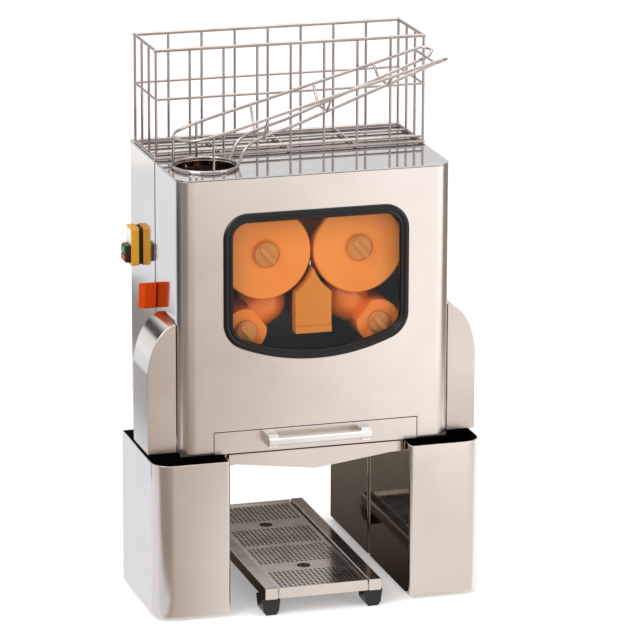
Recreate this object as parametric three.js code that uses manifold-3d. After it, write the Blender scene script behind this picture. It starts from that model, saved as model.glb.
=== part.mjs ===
// An automatic juicer for a counter: four turning drums behind a steel cover with a window, a wire
// basket and a wire chute on top, two peel buckets beside the legs, and a drip tray between them.
// X runs to the right, Y to the back and Z up, all in millimetres. Inside the model Y is measured
// from the front of the cover, and the last lines move the whole to the middle of its footprint.
import * as THREE from "three";
import { mergeVertices } from "three/addons/utils/BufferGeometryUtils.js";
import Module from "manifold-3d";

const wasm = await Module();
wasm.setup();

// Clearances and stock that all pieces share.
const sheet = 2;
const seat = 0.3;
const running = 0.6;
const overrun = 6;
const arcSteps = 2;
const windowSteps = 2;
const roundSides = 16;
const drumSides = 32;
const shaftSides = 12;
const weld = 1e-3;

// The stand: feet, base plates, legs, deck and the body that it carries.
const footHeight = 3;
const footRadius = 14;
const footInset = 24;
const basePlate = 3;
const baseMargin = 6;
const cupBayHalf = 126;
const cupBayHeight = 215;
const legWidth = 40;
const legGap = 4;
const legRadius = 6;
const deckThickness = 4;
const deckFront = 8;
const deckInset = 3;
const tankOpeningInset = 1;
const tankOpeningLap = 1;
const bodyHalf = 190;
const bodyDepth = 260;
const bodyRadius = 6;
const headRoom = 109;
const seamLap = 9;

// The plate that carries the drums, with a flange at each side.
const plateGap = 2;
const plateThickness = 4;
const plateFlange = 28;

// The rear hood over the motor.
const hoodHalf = 150;
const hoodDepth = 92;
const hoodHeight = 255;
const hoodRadius = 12;
const slotCount = 7;
const slotPitch = 22;
const slotLength = 120;
const slotWidth = 6;

// The top plate and the round mouth in it.
const feedY = 72;
const mouthRadius = 41;
const mouthCollar = 8;

// The cover with its window, whose top is set from the axes of the upper drums.
const coverGap = 0.4;
const coverRadius = 22;
const windowHalf = 129;
const windowRise = 62;
const windowHeight = 206;
const windowTopRadius = 34;
const windowSideRadius = 38;
const windowArcRadius = 274;
const gasketWidth = 13;
const gasketLip = 3;
const gasketOverlap = 5;
const gasketGroove = 3;
const outletRise = 12.6;
const outletDrop = 19;
const outletMargin = 8;

// The wings beside the cover, down which the peel leaves.
const wingWidth = 39.7;
const wingFront = 16;
const wingSeamGap = 29;
const wingHeight = 177.6;
const wingFlatShare = 0.07;
const wingShoulderShare = 0.85;
const wingShoulderDrop = 11;
const wingBend = 67;

// The drums. Three cups on each upper drum meet two balls on each lower drum.
const upperX = 65;
const upperRise = 266;
const lowerSpread = 27.9;
const cupTeeth = 30;
const ballTeeth = 20;
const pinionTeeth = 10;
const drumGapHalf = 2;
const drumFront = 20;
const drumLength = 90;
const drumEdge = 3;
const cupRadius = 38;
const cupCount = 3;
const cupAngle = -80.2;
const ballAngle = 38;
const ballRadius = 31;
const ballBase = 29;
const ballFlat = 25;
const hubRadius = 30;
const shaftRadius = 9;
const knobRadius = 17;
const lowerKnobRadius = 15;
const knobDisc = 7;
const knobBar = 4;
const knobBarWidth = 7;
const knobStud = 10;
const knobTurn = -50;

// The gears behind the plate, their case, and the motor that drives them.
const gearGap = 8;
const gearWidth = 24;
const gearRoom = 24;
const toothPlay = 0.35;
const toothTipShare = 0.82;
const toothRootShare = 1.18;
const pressureAngle = 20;
const caseRoom = 14;
const caseRadius = 44;
const caseWall = 6;
const pinionAngle = -11;
const motorHeadRadius = 46;
const motorHead = 34;
const motorRadius = 40;
const motorCap = 12;
const motorRoom = 11.7;

// The knife holder between the drums, and its blade.
const wedgeHalf = 25;
const wedgeDrop = 112;
const wedgeGap = 6;
const wedgeFront = 14;
const wedgeThickness = 16;
const wedgeBand = 9;
const wedgeBandDepth = 2;
const spineHalf = 6;
const knifeDrop = 15;
const knifeHeight = 51;
const knifeHold = 15;
const knifeHalf = 1;
const knifeBevel = 4;

// Guides inside the drum chamber.
const guideOut = 25.1;
const guideDrop = 86;
const guideRise = 23;
const guideLip = 8;
const feedGuideInset = 9;
const feedGuideGap = 2;
const feedGuideLean = 13;
const feedGuideLength = 110;
const feedGuideStraight = 40;

// The strainer drawer with its handle, and the tank below it.
const stripLap = 5;
const stripDrop = 2;
const stripHeight = 30;
const stripThickness = 4;
const drawerLap = 12;
const drawerHeight = 21;
const drawerInset = 5;
const strainerRows = 2;
const strainerSlots = 12;
const strainerSlotWidth = 4;
const strainerMargin = 12;
const handleHalf = 72;
const handleInset = 3;
const handleHeight = 18;
const handleBar = 10;
const handleDepth = 24;
const handleFoot = 14;
const handleRadius = 4;
const tankGap = 4;
const tankDrop = 1;
const tankWall = 14;
const tankFall = 14.4;
const tankFront = 3;
const tankInset = 3;
const tankLedge = 10;
const tankOutletY = 62;
const tankOutletRadius = 8;
const runnerWeb = 1.6;

// The peel buckets.
const bucketFront = -24;
const bucketDepth = 184;
const bucketGap = 2;
const bucketRadius = 26;
const bucketInnerRadius = 5;

// The wire basket. Its heights are above the body.
const basketGap = 8;
const basketDepth = 112;
const basketHeight = 155;
const basketMidRise = 86;
const basketLowRise = 13;
const railRadius = 2.5;
const wireRadius = 1.9;
const wireSides = 5;
const frontWires = 8;
const sideWires = 3;

// The wire chute that leads from the right down to the mouth. Its heights are above the body.
const chuteWire = 2.3;
const ringGap = 3;
const loopLowRise = 46;
const loopSteps = 14;
const floorHalf = 20;
const floorDrop = 9;
const floorFanShare = 0.1;
const chuteReach = 2;
const chuteStartRise = 53;
const chuteClimb = 88;
const chuteMidX = 60;
const hairpinDepth = 10;
const hairpinSteps = 12;
const crossInset = 20;
const tieShares = [0.23, 0.5, 0.76];

// The drip tray on its own feet.
const trayOuter = 82;
const trayRail = 18;
const trayFront = -38;
const trayInset = 12;
const trayTop = 40;
const trayRailHeight = 16;
const trayDepth = 13;
const trayLip = 5;
const gridThickness = 2;
const gridDrop = 4;
const fingerRadius = 9.5;
const gridRows = 2;
const gridColumns = 8;
const gridHoleRadius = 3.4;
const gridHoleSides = 4;
const gridMargin = 12;
const gridBandHalf = 17;
const trayFootWidth = 26;
const trayFootDepth = 30;
const trayFootCut = 6;
const trayFootInset = 6;

// The latch on the left wall above the wing, and the switch behind it.
const latchGap = 10;
const latchInset = 11;
const latchThickness = 18;
const latchFrontReach = 75;
const latchFrontRise = 39;
const latchBackReach = 13;
const latchBackRise = 18;
const latchHeight = 37;
const latchLean = 9;
const latchPin = 4;
const latchSkin = 4;
const switchInset = 78;
const switchWidth = 29;
const switchRise = 27;
const switchHeight = 54;
const switchDepth = 11;
const switchGasket = 2.4;
const switchRadius = 4;
const blockRise = 5;
const blockHeight = 24;
const blockWidth = 23;
const blockDepth = 7;
const buttonDepth = 4;
const buttonRise = 2;
const buttonTravel = 3;
const buttonMargin = 2;

// Sizes that follow from the ones above: the gears and the drums' places first.
const degree = Math.PI / 180;
const module = (2 * upperX) / cupTeeth;
const cupPitch = (module * cupTeeth) / 2;
const ballPitch = (module * ballTeeth) / 2;
const pinionPitch = (module * pinionTeeth) / 2;
const axisDistance = cupPitch + ballPitch;
const baseTop = footHeight + basePlate;
const deckBottom = baseTop + cupBayHeight;
const deckTop = deckBottom + deckThickness;
const lowerX = upperX + lowerSpread;
const upperZ = deckTop + upperRise;
const lowerZ = upperZ - Math.sqrt(axisDistance ** 2 - lowerSpread ** 2);
const drumRadius = upperX - drumGapHalf;
const ballReach = axisDistance - drumRadius;
const drumBack = drumFront + drumLength;
const drumMiddle = (drumFront + drumBack) / 2;

// The body round them.
const plateFront = drumBack + plateGap;
const plateBack = plateFront + plateThickness;
const seam = plateFront + seamLap;
const machineBack = bodyDepth + hoodDepth;
const bodyInner = bodyHalf - sheet;
const bodyBottom = deckTop + seat;
const bodyTop = upperZ + headRoom;
const topPlateBottom = bodyTop + seat;
const topPlateTop = topPlateBottom + sheet;
const plateTop = topPlateTop - mouthCollar - seat;
const hoodTop = deckTop + hoodHeight;
const deckHalf = bodyHalf - deckInset;
const tankOpeningHalf = cupBayHalf - tankOpeningLap;
const legOuter = cupBayHalf + legWidth;
const gearFront = plateBack + gearGap;
const caseBack = gearFront + gearWidth + gearRoom;
const caseHalf = lowerX + ballPitch + caseRoom;
const caseTop = upperZ + cupPitch + caseRoom;
const caseBottom = lowerZ - ballPitch - caseRoom;

// The cover, its window and its wings.
const coverBottom = deckTop + coverGap;
const windowTop = upperZ + windowRise;
const windowBottom = windowTop - windowHeight;
const windowDrop = windowBottom + windowArcRadius;
const paneInset = gasketWidth - gasketGroove + seat;
const wingBack = seam - wingSeamGap;
const wingWallTop = coverBottom + wingHeight;
const wingShoulderZ = wingWallTop - wingShoulderDrop;
const wingSideTop = wingWallTop - wingBend;
const outletBottom = coverBottom + outletRise;
const outletTop = wingWallTop - outletDrop;

// What is inside, and what lies below the drums.
const wedgeBottom = upperZ - wedgeDrop;
const wedgeReach = drumRadius + wedgeGap;
const knifeTop = upperZ - knifeDrop;
const knifeBottom = knifeTop - knifeHeight;
const spineTop = knifeBottom + knifeHold;
const guideInner = lowerX + guideOut;
const guideInnerZ = lowerZ - guideDrop;
const guideOuterZ = deckTop + guideRise;
const feedGuideX = feedGuideInset - bodyHalf;
const feedGuideLowX = feedGuideX + feedGuideLean;
const feedGuideLowZ = bodyTop - feedGuideLength;
const feedGuideMidZ = bodyTop - feedGuideStraight;
const feedX = feedGuideX + sheet + feedGuideGap + sheet + mouthRadius;
const tankOpeningBack = plateFront - tankOpeningInset;
const drawerHalf = tankOpeningHalf + drawerLap;
const drawerTop = deckTop + drawerHeight;
const drawerBack = tankOpeningBack - drawerInset;
const stripHalf = drawerHalf + stripLap;
const stripBottom = deckTop - stripDrop;
const stripTop = stripBottom + stripHeight;
const handleTop = stripTop - handleInset;
const tankHalf = tankOpeningHalf - tankGap;
const tankTop = deckBottom - tankDrop;
const tankSide = tankTop - tankWall;
const tankVertex = tankSide - tankFall;
const tankBack = tankOpeningBack - tankInset;

// What is outside: buckets, basket, chute, tray, latch and switch.
const bucketOuter = bodyHalf + seat + wingWidth;
const bucketBack = bucketFront + bucketDepth;
const bucketTop = deckBottom - bucketGap;
const legFront = bucketBack + legGap;
const ringRadius = mouthRadius + ringGap;
const basketHalf = bodyHalf - railRadius;
const basketFront = feedY + ringRadius + basketGap;
const basketBack = basketFront + basketDepth;
const basketTop = bodyTop + basketHeight;
const basketMid = bodyTop + basketMidRise;
const basketLow = bodyTop + basketLowRise;
const loopLowZ = bodyTop + loopLowRise;
const chuteEndX = bodyHalf + chuteReach;
const chuteStartZ = bodyTop + chuteStartRise;
const chuteEndZ = chuteStartZ + chuteClimb;
const trayBack = machineBack - trayInset;
const trayFloor = trayTop - trayDepth;
const latchPivotY = seam + latchInset;
const latchPivotZ = wingWallTop + latchGap + latchHeight - latchFrontRise;
const latchFrontY = latchPivotY - latchFrontReach;
const latchFrontZ = latchPivotZ + latchFrontRise;
const latchBackY = latchPivotY + latchBackReach;
const latchBackZ = latchPivotZ + latchBackRise;
const switchFront = seam + switchInset;
const switchBottom = latchPivotZ + switchRise;
const switchTop = switchBottom + switchHeight;
const blockBottom = switchBottom + blockRise;

const steel = look(0xc9c5bf, 0.32, 0.9);
const polished = look(0xd8d4ce, 0.12, 1);
const wireChrome = look(0xe2e2e4, 0.15, 1);
const rubber = look(0x17171a, 0.5, 0);
const drumPlastic = look(0xf08a24, 0.4, 0);
const holderPlastic = look(0xd58f2a, 0.45, 0);
const glass = look(0xe8f0f2, 0.05, 0);
const yellowPlastic = look(0xdda324, 0.45, 0);
const blackPlastic = look(0x1b1b1e, 0.45, 0);
const greenPlastic = look(0x2f8a4a, 0.4, 0);
const redPlastic = look(0xb3261c, 0.4, 0);
const latchPlastic = look(0xdb4a26, 0.4, 0);
const castMetal = look(0xa9abad, 0.5, 0.8);
const gearSteel = look(0x8f9194, 0.4, 0.9);
const motorPaint = look(0x3a3f45, 0.5, 0.2);
const handleMetal = look(0xe6e6e4, 0.25, 0.9);

function look(color, roughness, metalness) {
  return new THREE.MeshStandardMaterial({ color, roughness, metalness });
}

// A closed three.js geometry as a solid that can be joined and cut.
function solid(geometry) {
  const bare = new THREE.BufferGeometry();
  const source = geometry.index ? geometry.toNonIndexed() : geometry;
  bare.setAttribute("position", source.getAttribute("position"));
  const merged = mergeVertices(bare, weld);
  const corners = merged.index.array;
  const kept = [];
  for (let i = 0; i < corners.length; i += 3) {
    const [a, b, c] = [corners[i], corners[i + 1], corners[i + 2]];
    if (a !== b && b !== c && c !== a) kept.push(a, b, c);
  }
  const vertProperties = merged.attributes.position.array;
  const triVerts = new Uint32Array(kept);
  return new wasm.Manifold(new wasm.Mesh({ numProp: 3, vertProperties, triVerts }));
}

function join(...solids) {
  return wasm.Manifold.union(solids.flat(Infinity));
}

function cut(body, ...tools) {
  return body.subtract(join(...tools));
}

function moved(body, x, y, z) {
  return body.translate([x, y, z]);
}

// The body turned about the axis along Y, counter-clockwise as seen from the front.
function turned(body, angle) {
  return body.rotate([0, -angle / degree, 0]);
}

function mirrored(body) {
  return body.mirror([1, 0, 0]);
}

function piece(name, body, material) {
  const data = body.getMesh();
  const geometry = new THREE.BufferGeometry();
  geometry.setAttribute("position", new THREE.BufferAttribute(data.vertProperties, 3));
  geometry.setIndex(new THREE.BufferAttribute(data.triVerts, 1));
  geometry.computeVertexNormals();
  const mesh = new THREE.Mesh(geometry, material);
  mesh.name = name;
  return mesh;
}

function group(...children) {
  const made = new THREE.Group();
  made.add(...children.flat());
  return made;
}

// A left and a right piece from the shape of the right one.
function pair(name, rightBody, material) {
  return [
    piece(name + "_left", mirrored(rightBody), material),
    piece(name + "_right", rightBody, material),
  ];
}

function extruded(shape, depth) {
  return new THREE.ExtrudeGeometry(shape, { depth, bevelEnabled: false, curveSegments: arcSteps });
}

// A shape drawn in X and Y, from one height to another.
function upright(shape, from, to) {
  return solid(extruded(shape, to - from).translate(0, 0, from));
}

// A shape drawn in X and Z, from one depth to another.
function deep(shape, from, to) {
  return solid(extruded(shape, to - from).rotateX(Math.PI / 2).translate(0, to, 0));
}

// A shape drawn in Y and Z, from one X to another.
function across(shape, from, to) {
  const turn = new THREE.Matrix4().makeBasis(
    new THREE.Vector3(0, 1, 0),
    new THREE.Vector3(0, 0, 1),
    new THREE.Vector3(1, 0, 0),
  );
  return solid(extruded(shape, to - from).applyMatrix4(turn).translate(from, 0, 0));
}

function polygon(...points) {
  return new THREE.Shape(points.map(([u, v]) => new THREE.Vector2(u, v)));
}

// A rectangle whose corners are rounded, from the lower left one counter-clockwise.
function rounded(left, low, right, high, ...radii) {
  const [a, b, c, d] = radii.length === 1 ? Array(4).fill(radii[0]) : radii;
  return new THREE.Shape([
    ...corner(left + a, low + a, a, 2),
    ...corner(right - b, low + b, b, 3),
    ...corner(right - c, high - c, c, 0),
    ...corner(left + d, high - d, d, 1),
  ]);
}

// The points of one corner, a quarter turn about its centre.
function corner(u, v, radius, quarter) {
  if (radius === 0) return [new THREE.Vector2(u, v)];
  const steps = 2 * arcSteps;
  return Array.from({ length: steps + 1 }, (_, i) => {
    const angle = ((quarter + i / steps) * Math.PI) / 2;
    return new THREE.Vector2(u + radius * Math.cos(angle), v + radius * Math.sin(angle));
  });
}

// The corners of a round outline about a point.
function roundPoints(radius, sides, u = 0, v = 0) {
  return Array.from({ length: sides }, (_, i) => {
    const angle = (i * 2 * Math.PI) / sides;
    return new THREE.Vector2(u + radius * Math.cos(angle), v + radius * Math.sin(angle));
  });
}

function disc(radius, u, v) {
  return new THREE.Shape(roundPoints(radius, shaftSides, u, v));
}

// A round piece about an axis along Y, from [radius, depth] points.
function turnedProfile(points, sides = roundSides) {
  const profile = points.map(([radius, y]) => new THREE.Vector2(radius, y));
  return solid(new THREE.LatheGeometry(profile, sides));
}

// A round bar about an axis along Y.
function bar(radius, from, to, sides = shaftSides) {
  const cylinder = new THREE.CylinderGeometry(radius, radius, to - from, sides);
  return solid(cylinder.translate(0, (from + to) / 2, 0));
}

// A round bar about an axis along Z.
function post(radius, from, to, sides = roundSides) {
  const cylinder = new THREE.CylinderGeometry(radius, radius, to - from, sides);
  return solid(cylinder.rotateX(Math.PI / 2).translate(0, 0, (from + to) / 2));
}

// A straight wire between two points.
function wire(from, to, radius, sides = wireSides) {
  const start = new THREE.Vector3(...from);
  const along = new THREE.Vector3(...to).sub(start);
  const cylinder = new THREE.CylinderGeometry(radius, radius, along.length(), sides);
  const turn = new THREE.Quaternion().setFromUnitVectors(
    new THREE.Vector3(0, 1, 0),
    along.clone().normalize(),
  );
  const middle = along.multiplyScalar(1 / 2).add(start);
  return solid(cylinder.applyQuaternion(turn).translate(middle.x, middle.y, middle.z));
}

// A wire bent along a smooth curve through its points.
function bentWire(points, radius, steps) {
  const path = new THREE.CatmullRomCurve3(points.map((p) => new THREE.Vector3(...p)));
  const section = new THREE.Shape(roundPoints(radius, wireSides));
  return solid(new THREE.ExtrudeGeometry(section, { extrudePath: path, steps }));
}

// The window's outline, drawn in by an inset.
function windowOutline(inset) {
  const half = windowHalf - inset;
  const top = windowTop - inset;
  const topRadius = windowTopRadius - inset;
  const sideRadius = windowSideRadius - inset;
  const arcRadius = windowArcRadius - inset;
  const sideX = half - sideRadius;
  const sideZ = windowDrop - Math.sqrt((arcRadius - sideRadius) ** 2 - sideX ** 2);
  const swing = Math.atan2(sideX, windowDrop - sideZ);
  const right = 0;
  const down = -Math.PI / 2;
  const shape = new THREE.Shape();
  shape.absarc(0, windowDrop, arcRadius, down - swing, down + swing, false);
  shape.absarc(sideX, sideZ, sideRadius, down + swing, right, false);
  shape.absarc(half - topRadius, top - topRadius, topRadius, right, Math.PI / 2, false);
  shape.absarc(topRadius - half, top - topRadius, topRadius, Math.PI / 2, Math.PI, false);
  shape.absarc(-sideX, sideZ, sideRadius, Math.PI, Math.PI - down - swing, false);
  return new THREE.Shape(shape.getPoints(windowSteps).slice(0, -1));
}

// Feet, base plates, legs and deck.
function stand() {
  const plateInner = cupBayHalf + baseMargin;
  const plateOuter = bucketOuter - baseMargin;
  const plateStart = bucketFront + 2 * baseMargin;
  const plateStep = bucketBack - baseMargin;
  const plate = polygon(
    [plateInner, plateStart],
    [plateOuter, plateStart],
    [plateOuter, plateStep],
    [legOuter, plateStep],
    [legOuter, machineBack],
    [plateInner, machineBack],
  );
  const base = upright(plate, footHeight, baseTop);
  const legPlan = (inset) =>
    rounded(
      cupBayHalf + inset,
      legFront + inset,
      legOuter - inset,
      machineBack - inset,
      legRadius - inset,
    );
  const leg = cut(
    upright(legPlan(0), baseTop + seat, deckBottom - seat),
    upright(legPlan(sheet), footHeight, deckTop),
  );
  const foot = post(footRadius, 0, footHeight - seat);
  const feet = [
    ["front", (plateInner + plateOuter) / 2, plateStart + footInset],
    ["back", (plateInner + legOuter) / 2, machineBack - footInset],
  ].flatMap(([place, x, y]) => pair("foot_" + place, moved(foot, x, y, 0), rubber));
  const opening = rounded(-tankOpeningHalf, -overrun, tankOpeningHalf, tankOpeningBack, 0);
  const deckPlan = polygon(
    [-deckHalf, deckFront],
    [deckHalf, deckFront],
    [deckHalf, bodyDepth],
    [legOuter, bodyDepth],
    [legOuter, machineBack],
    [-legOuter, machineBack],
    [-legOuter, bodyDepth],
    [-deckHalf, bodyDepth],
  );
  const deck = cut(
    upright(deckPlan, deckBottom, deckTop),
    upright(opening, deckBottom - overrun, deckTop + overrun),
  );
  const runnerOut = tankOpeningHalf;
  const runnerIn = runnerOut - runnerWeb;
  const lipLow = tankSide - seat - sheet;
  const runner = join(
    deep(rounded(runnerIn, lipLow, runnerOut, deckBottom - seat, 0), deckFront, tankOpeningBack),
    deep(rounded(tankHalf - tankLedge, lipLow, runnerOut, lipLow + sheet, 0), deckFront, tankOpeningBack),
  );
  return [
    piece("deck", deck, steel),
    ...pair("leg", leg, steel),
    ...pair("base_plate", base, steel),
    ...pair("tank_runner", runner, steel),
    ...feet,
  ];
}

// The bent shell round the back half, the top plate, the drum plate and the motor's hood.
function body() {
  const [motorX, motorZ] = pinionPlace();
  const motorHole = bar(motorHeadRadius + sheet, bodyDepth - overrun, bodyDepth + overrun, roundSides);
  const shellPlan = rounded(-bodyHalf, seam + seat, bodyHalf, bodyDepth, 0, 0, bodyRadius, bodyRadius);
  const shell = cut(
    upright(shellPlan, bodyBottom, bodyTop),
    upright(
      rounded(-bodyInner, 0, bodyInner, bodyDepth - sheet, 0, 0, bodyRadius - sheet, bodyRadius - sheet),
      0,
      bodyTop + overrun,
    ),
    moved(motorHole, motorX, 0, motorZ),
  );
  const inner = bodyInner - seat;
  const plate = cut(
    upright(rounded(-inner, plateFront, inner, plateFront + plateFlange, 0), bodyBottom, plateTop),
    upright(
      rounded(plateThickness - inner, plateBack, inner - plateThickness, bodyDepth, 0),
      0,
      bodyTop + overrun,
    ),
    drumPlaces().map(([x, z]) => moved(bar(shaftRadius + running, 0, bodyDepth), x, 0, z)),
  );
  const top = cut(
    join(
      upright(
        rounded(-bodyHalf, 0, bodyHalf, bodyDepth, coverRadius, coverRadius, bodyRadius, bodyRadius),
        topPlateBottom,
        topPlateTop,
      ),
      moved(post(mouthRadius + sheet, topPlateTop - mouthCollar, topPlateTop), feedX, feedY, 0),
    ),
    moved(post(mouthRadius, bodyBottom, topPlateTop + overrun), feedX, feedY, 0),
  );
  const hoodBack = machineBack;
  const slots = Array.from({ length: slotCount }, (_, i) => {
    const z = hoodTop - hoodRadius - (i + 1) * slotPitch;
    return deep(
      rounded(-slotLength / 2, z, slotLength / 2, z + slotWidth, 0),
      hoodBack - overrun,
      hoodBack + overrun,
    );
  });
  const hood = cut(
    upright(
      rounded(-hoodHalf, bodyDepth + seat, hoodHalf, hoodBack, 0, 0, hoodRadius, hoodRadius),
      bodyBottom,
      hoodTop,
    ),
    upright(
      rounded(
        sheet - hoodHalf,
        0,
        hoodHalf - sheet,
        hoodBack - sheet,
        0,
        0,
        hoodRadius - sheet,
        hoodRadius - sheet,
      ),
      0,
      hoodTop - sheet,
    ),
    slots,
  );
  return [
    piece("body_shell", shell, steel),
    piece("drum_plate", plate, steel),
    piece("top_plate", top, polished),
    piece("motor_hood", hood, steel),
  ];
}

// The cover with its window, gasket, pane and wings.
function cover() {
  const cornerRadii = [coverRadius, coverRadius, 0, 0];
  const innerRadii = [coverRadius - sheet, coverRadius - sheet, 0, 0];
  const outlet = rounded(
    wingFront + outletMargin,
    outletBottom,
    wingBack - outletMargin,
    outletTop,
    outletMargin,
  );
  const notch = rounded(-stripHalf - sheet / 2, 0, stripHalf + sheet / 2, stripTop + sheet / 2, 0);
  const panel = cut(
    upright(rounded(-bodyHalf, 0, bodyHalf, seam, ...cornerRadii), coverBottom, bodyTop),
    upright(
      rounded(-bodyInner, sheet, bodyInner, seam + overrun, ...innerRadii),
      0,
      bodyTop + overrun,
    ),
    deep(windowOutline(gasketOverlap), -overrun, overrun),
    deep(notch, -overrun, overrun),
    across(outlet, -bodyHalf - overrun, bodyHalf + overrun),
  );
  const lipInner = windowOutline(gasketWidth);
  const gasket = cut(
    join(
      deep(windowOutline(0), -seat - gasketLip, -seat),
      deep(windowOutline(gasketOverlap + seat), -seat - gasketLip, sheet + seat + gasketLip),
      deep(windowOutline(0), sheet + seat, sheet + seat + gasketLip),
    ),
    deep(lipInner, -overrun, overrun + sheet),
    deep(windowOutline(gasketWidth - gasketGroove), -seat, sheet + seat),
  );
  const pane = deep(windowOutline(paneInset), 0, sheet);
  const wing = cut(
    deep(wingProfile(0), wingFront, wingBack),
    deep(wingProfile(sheet), wingFront + sheet, wingBack - sheet),
  );
  return [
    piece("cover_panel", panel, steel),
    piece("window_gasket", gasket, rubber),
    piece("window_pane", pane, glass),
    ...pair("peel_wing", wing, steel),
  ];
}

// One wing seen from the front, or the space inside it when the sheet is given.
function wingProfile(inset) {
  const wall = bodyHalf + seat - inset;
  const low = coverBottom - inset;
  const outer = wall + wingWidth;
  const shape = new THREE.Shape();
  shape.moveTo(wall, low);
  shape.lineTo(outer, low);
  shape.lineTo(outer, wingSideTop - inset);
  shape.quadraticCurveTo(
    wall + wingWidth * wingShoulderShare,
    wingShoulderZ - inset,
    wall + wingWidth * wingFlatShare,
    wingWallTop - inset,
  );
  shape.lineTo(wall, wingWallTop - inset);
  return new THREE.Shape(shape.getPoints(2 * arcSteps));
}

function drumPlaces() {
  return [
    [-upperX, upperZ],
    [upperX, upperZ],
    [-lowerX, lowerZ],
    [lowerX, lowerZ],
  ];
}

function pinionPlace() {
  const reach = ballPitch + pinionPitch;
  const angle = pinionAngle * degree;
  return [reach * Math.cos(angle) - lowerX, lowerZ + reach * Math.sin(angle)];
}

// An upper drum with three round cups in its rim, about its own axis.
function cupDrum(angle) {
  const bore = shaftRadius + seat;
  const blank = turnedProfile([
    [bore, drumFront],
    [drumRadius - drumEdge, drumFront],
    [drumRadius, drumFront + drumEdge],
    [drumRadius, drumBack - drumEdge],
    [drumRadius - drumEdge, drumBack],
    [bore, drumBack],
    [bore, drumFront],
  ], drumSides);
  const ball = solid(new THREE.SphereGeometry(cupRadius, roundSides, roundSides / 2));
  const cups = Array.from({ length: cupCount }, (_, i) =>
    turned(moved(ball, drumRadius, drumMiddle, 0), angle * degree + (i * 2 * Math.PI) / cupCount),
  );
  return cut(blank, cups);
}

// A lower drum: a hub with a flat on each side and a ball on each flat.
function ballDrum(angle) {
  const bore = shaftRadius + seat;
  const blank = turnedProfile([
    [bore, drumFront],
    [hubRadius - drumEdge / 2, drumFront],
    [hubRadius, drumFront + drumEdge / 2],
    [hubRadius, drumBack],
    [bore, drumBack],
    [bore, drumFront],
  ]);
  const flat = upright(
    rounded(ballFlat, 0, hubRadius + overrun, drumBack + overrun, 0),
    -hubRadius - overrun,
    hubRadius + overrun,
  );
  const dome = [[0, ballFlat - sheet], [ballBase, ballFlat - sheet], [ballBase, ballFlat]];
  const domeSteps = roundSides / 4;
  for (let i = 0; i <= domeSteps; i += 1) {
    const lift = (i / domeSteps) * (Math.PI / 2);
    dome.push([ballRadius * Math.cos(lift), ballReach + ballRadius * Math.sin(lift)]);
  }
  const ball = turnedProfile(dome).rotate([0, 0, -90]).translate([0, drumMiddle, 0]);
  const half = (part) => [0, 1].map((i) => turned(part, i * Math.PI));
  const hub = cut(blank, half(flat));
  const shaped = cut(join(hub, half(ball)), bar(bore, 0, drumBack + overrun));
  return turned(shaped, angle * degree);
}

// A locking knob with a grip bar and a stud that goes into the drum's bore.
function knob(radius) {
  const back = drumFront - seat;
  const face = back - knobDisc;
  const round = turnedProfile([
    [0, face],
    [radius - sheet / 2, face],
    [radius, back],
    [shaftRadius, back],
    [shaftRadius, back + knobStud],
    [0, back + knobStud],
  ]);
  const grip = rounded(
    knobBarWidth / 2 - radius,
    -knobBarWidth / 2,
    radius - knobBarWidth / 2,
    knobBarWidth / 2,
    knobBarWidth / 3,
  );
  return turned(join(round, deep(grip, face - knobBar, face + sheet)), knobTurn * degree);
}

// A gear seen from the front, with straight flanks set back by the play from the true curve.
function gearShape(teeth, phase) {
  const pitch = (module * teeth) / 2;
  const tip = pitch + module * toothTipShare;
  const root = pitch - module * toothRootShare;
  const base = pitch * Math.cos(pressureAngle * degree);
  const involute = (radius) => {
    const lean = Math.acos(Math.min(1, base / radius));
    return Math.tan(lean) - lean;
  };
  const halfAt = (radius) =>
    Math.PI / (2 * teeth) + involute(pitch) - involute(radius) - toothPlay / (2 * pitch);
  const points = [];
  for (let i = 0; i < teeth; i += 1) {
    const middle = phase + (i * 2 * Math.PI) / teeth;
    for (const [radius, side] of [[root, -1], [tip, -1], [tip, 1], [root, 1]]) {
      const angle = middle + side * halfAt(radius);
      points.push(new THREE.Vector2(radius * Math.cos(angle), radius * Math.sin(angle)));
    }
  }
  return new THREE.Shape(points);
}

// The phase that puts the second gear's gap on the first one's tooth.
function meshedPhase(phase, teeth, direction, nextTeeth) {
  const tooth = (teeth * (direction - phase)) / (2 * Math.PI);
  return direction + Math.PI - ((2 * Math.PI) / nextTeeth) * (1 / 2 - tooth);
}

// A shaft with its gear cut from one piece, about its own axis.
function gearShaft(teeth, phase) {
  const shaftFront = drumFront - seat + knobStud + seat;
  return join(
    bar(shaftRadius, shaftFront, caseBack - seat),
    deep(gearShape(teeth, phase), gearFront, gearFront + gearWidth),
  );
}

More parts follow.
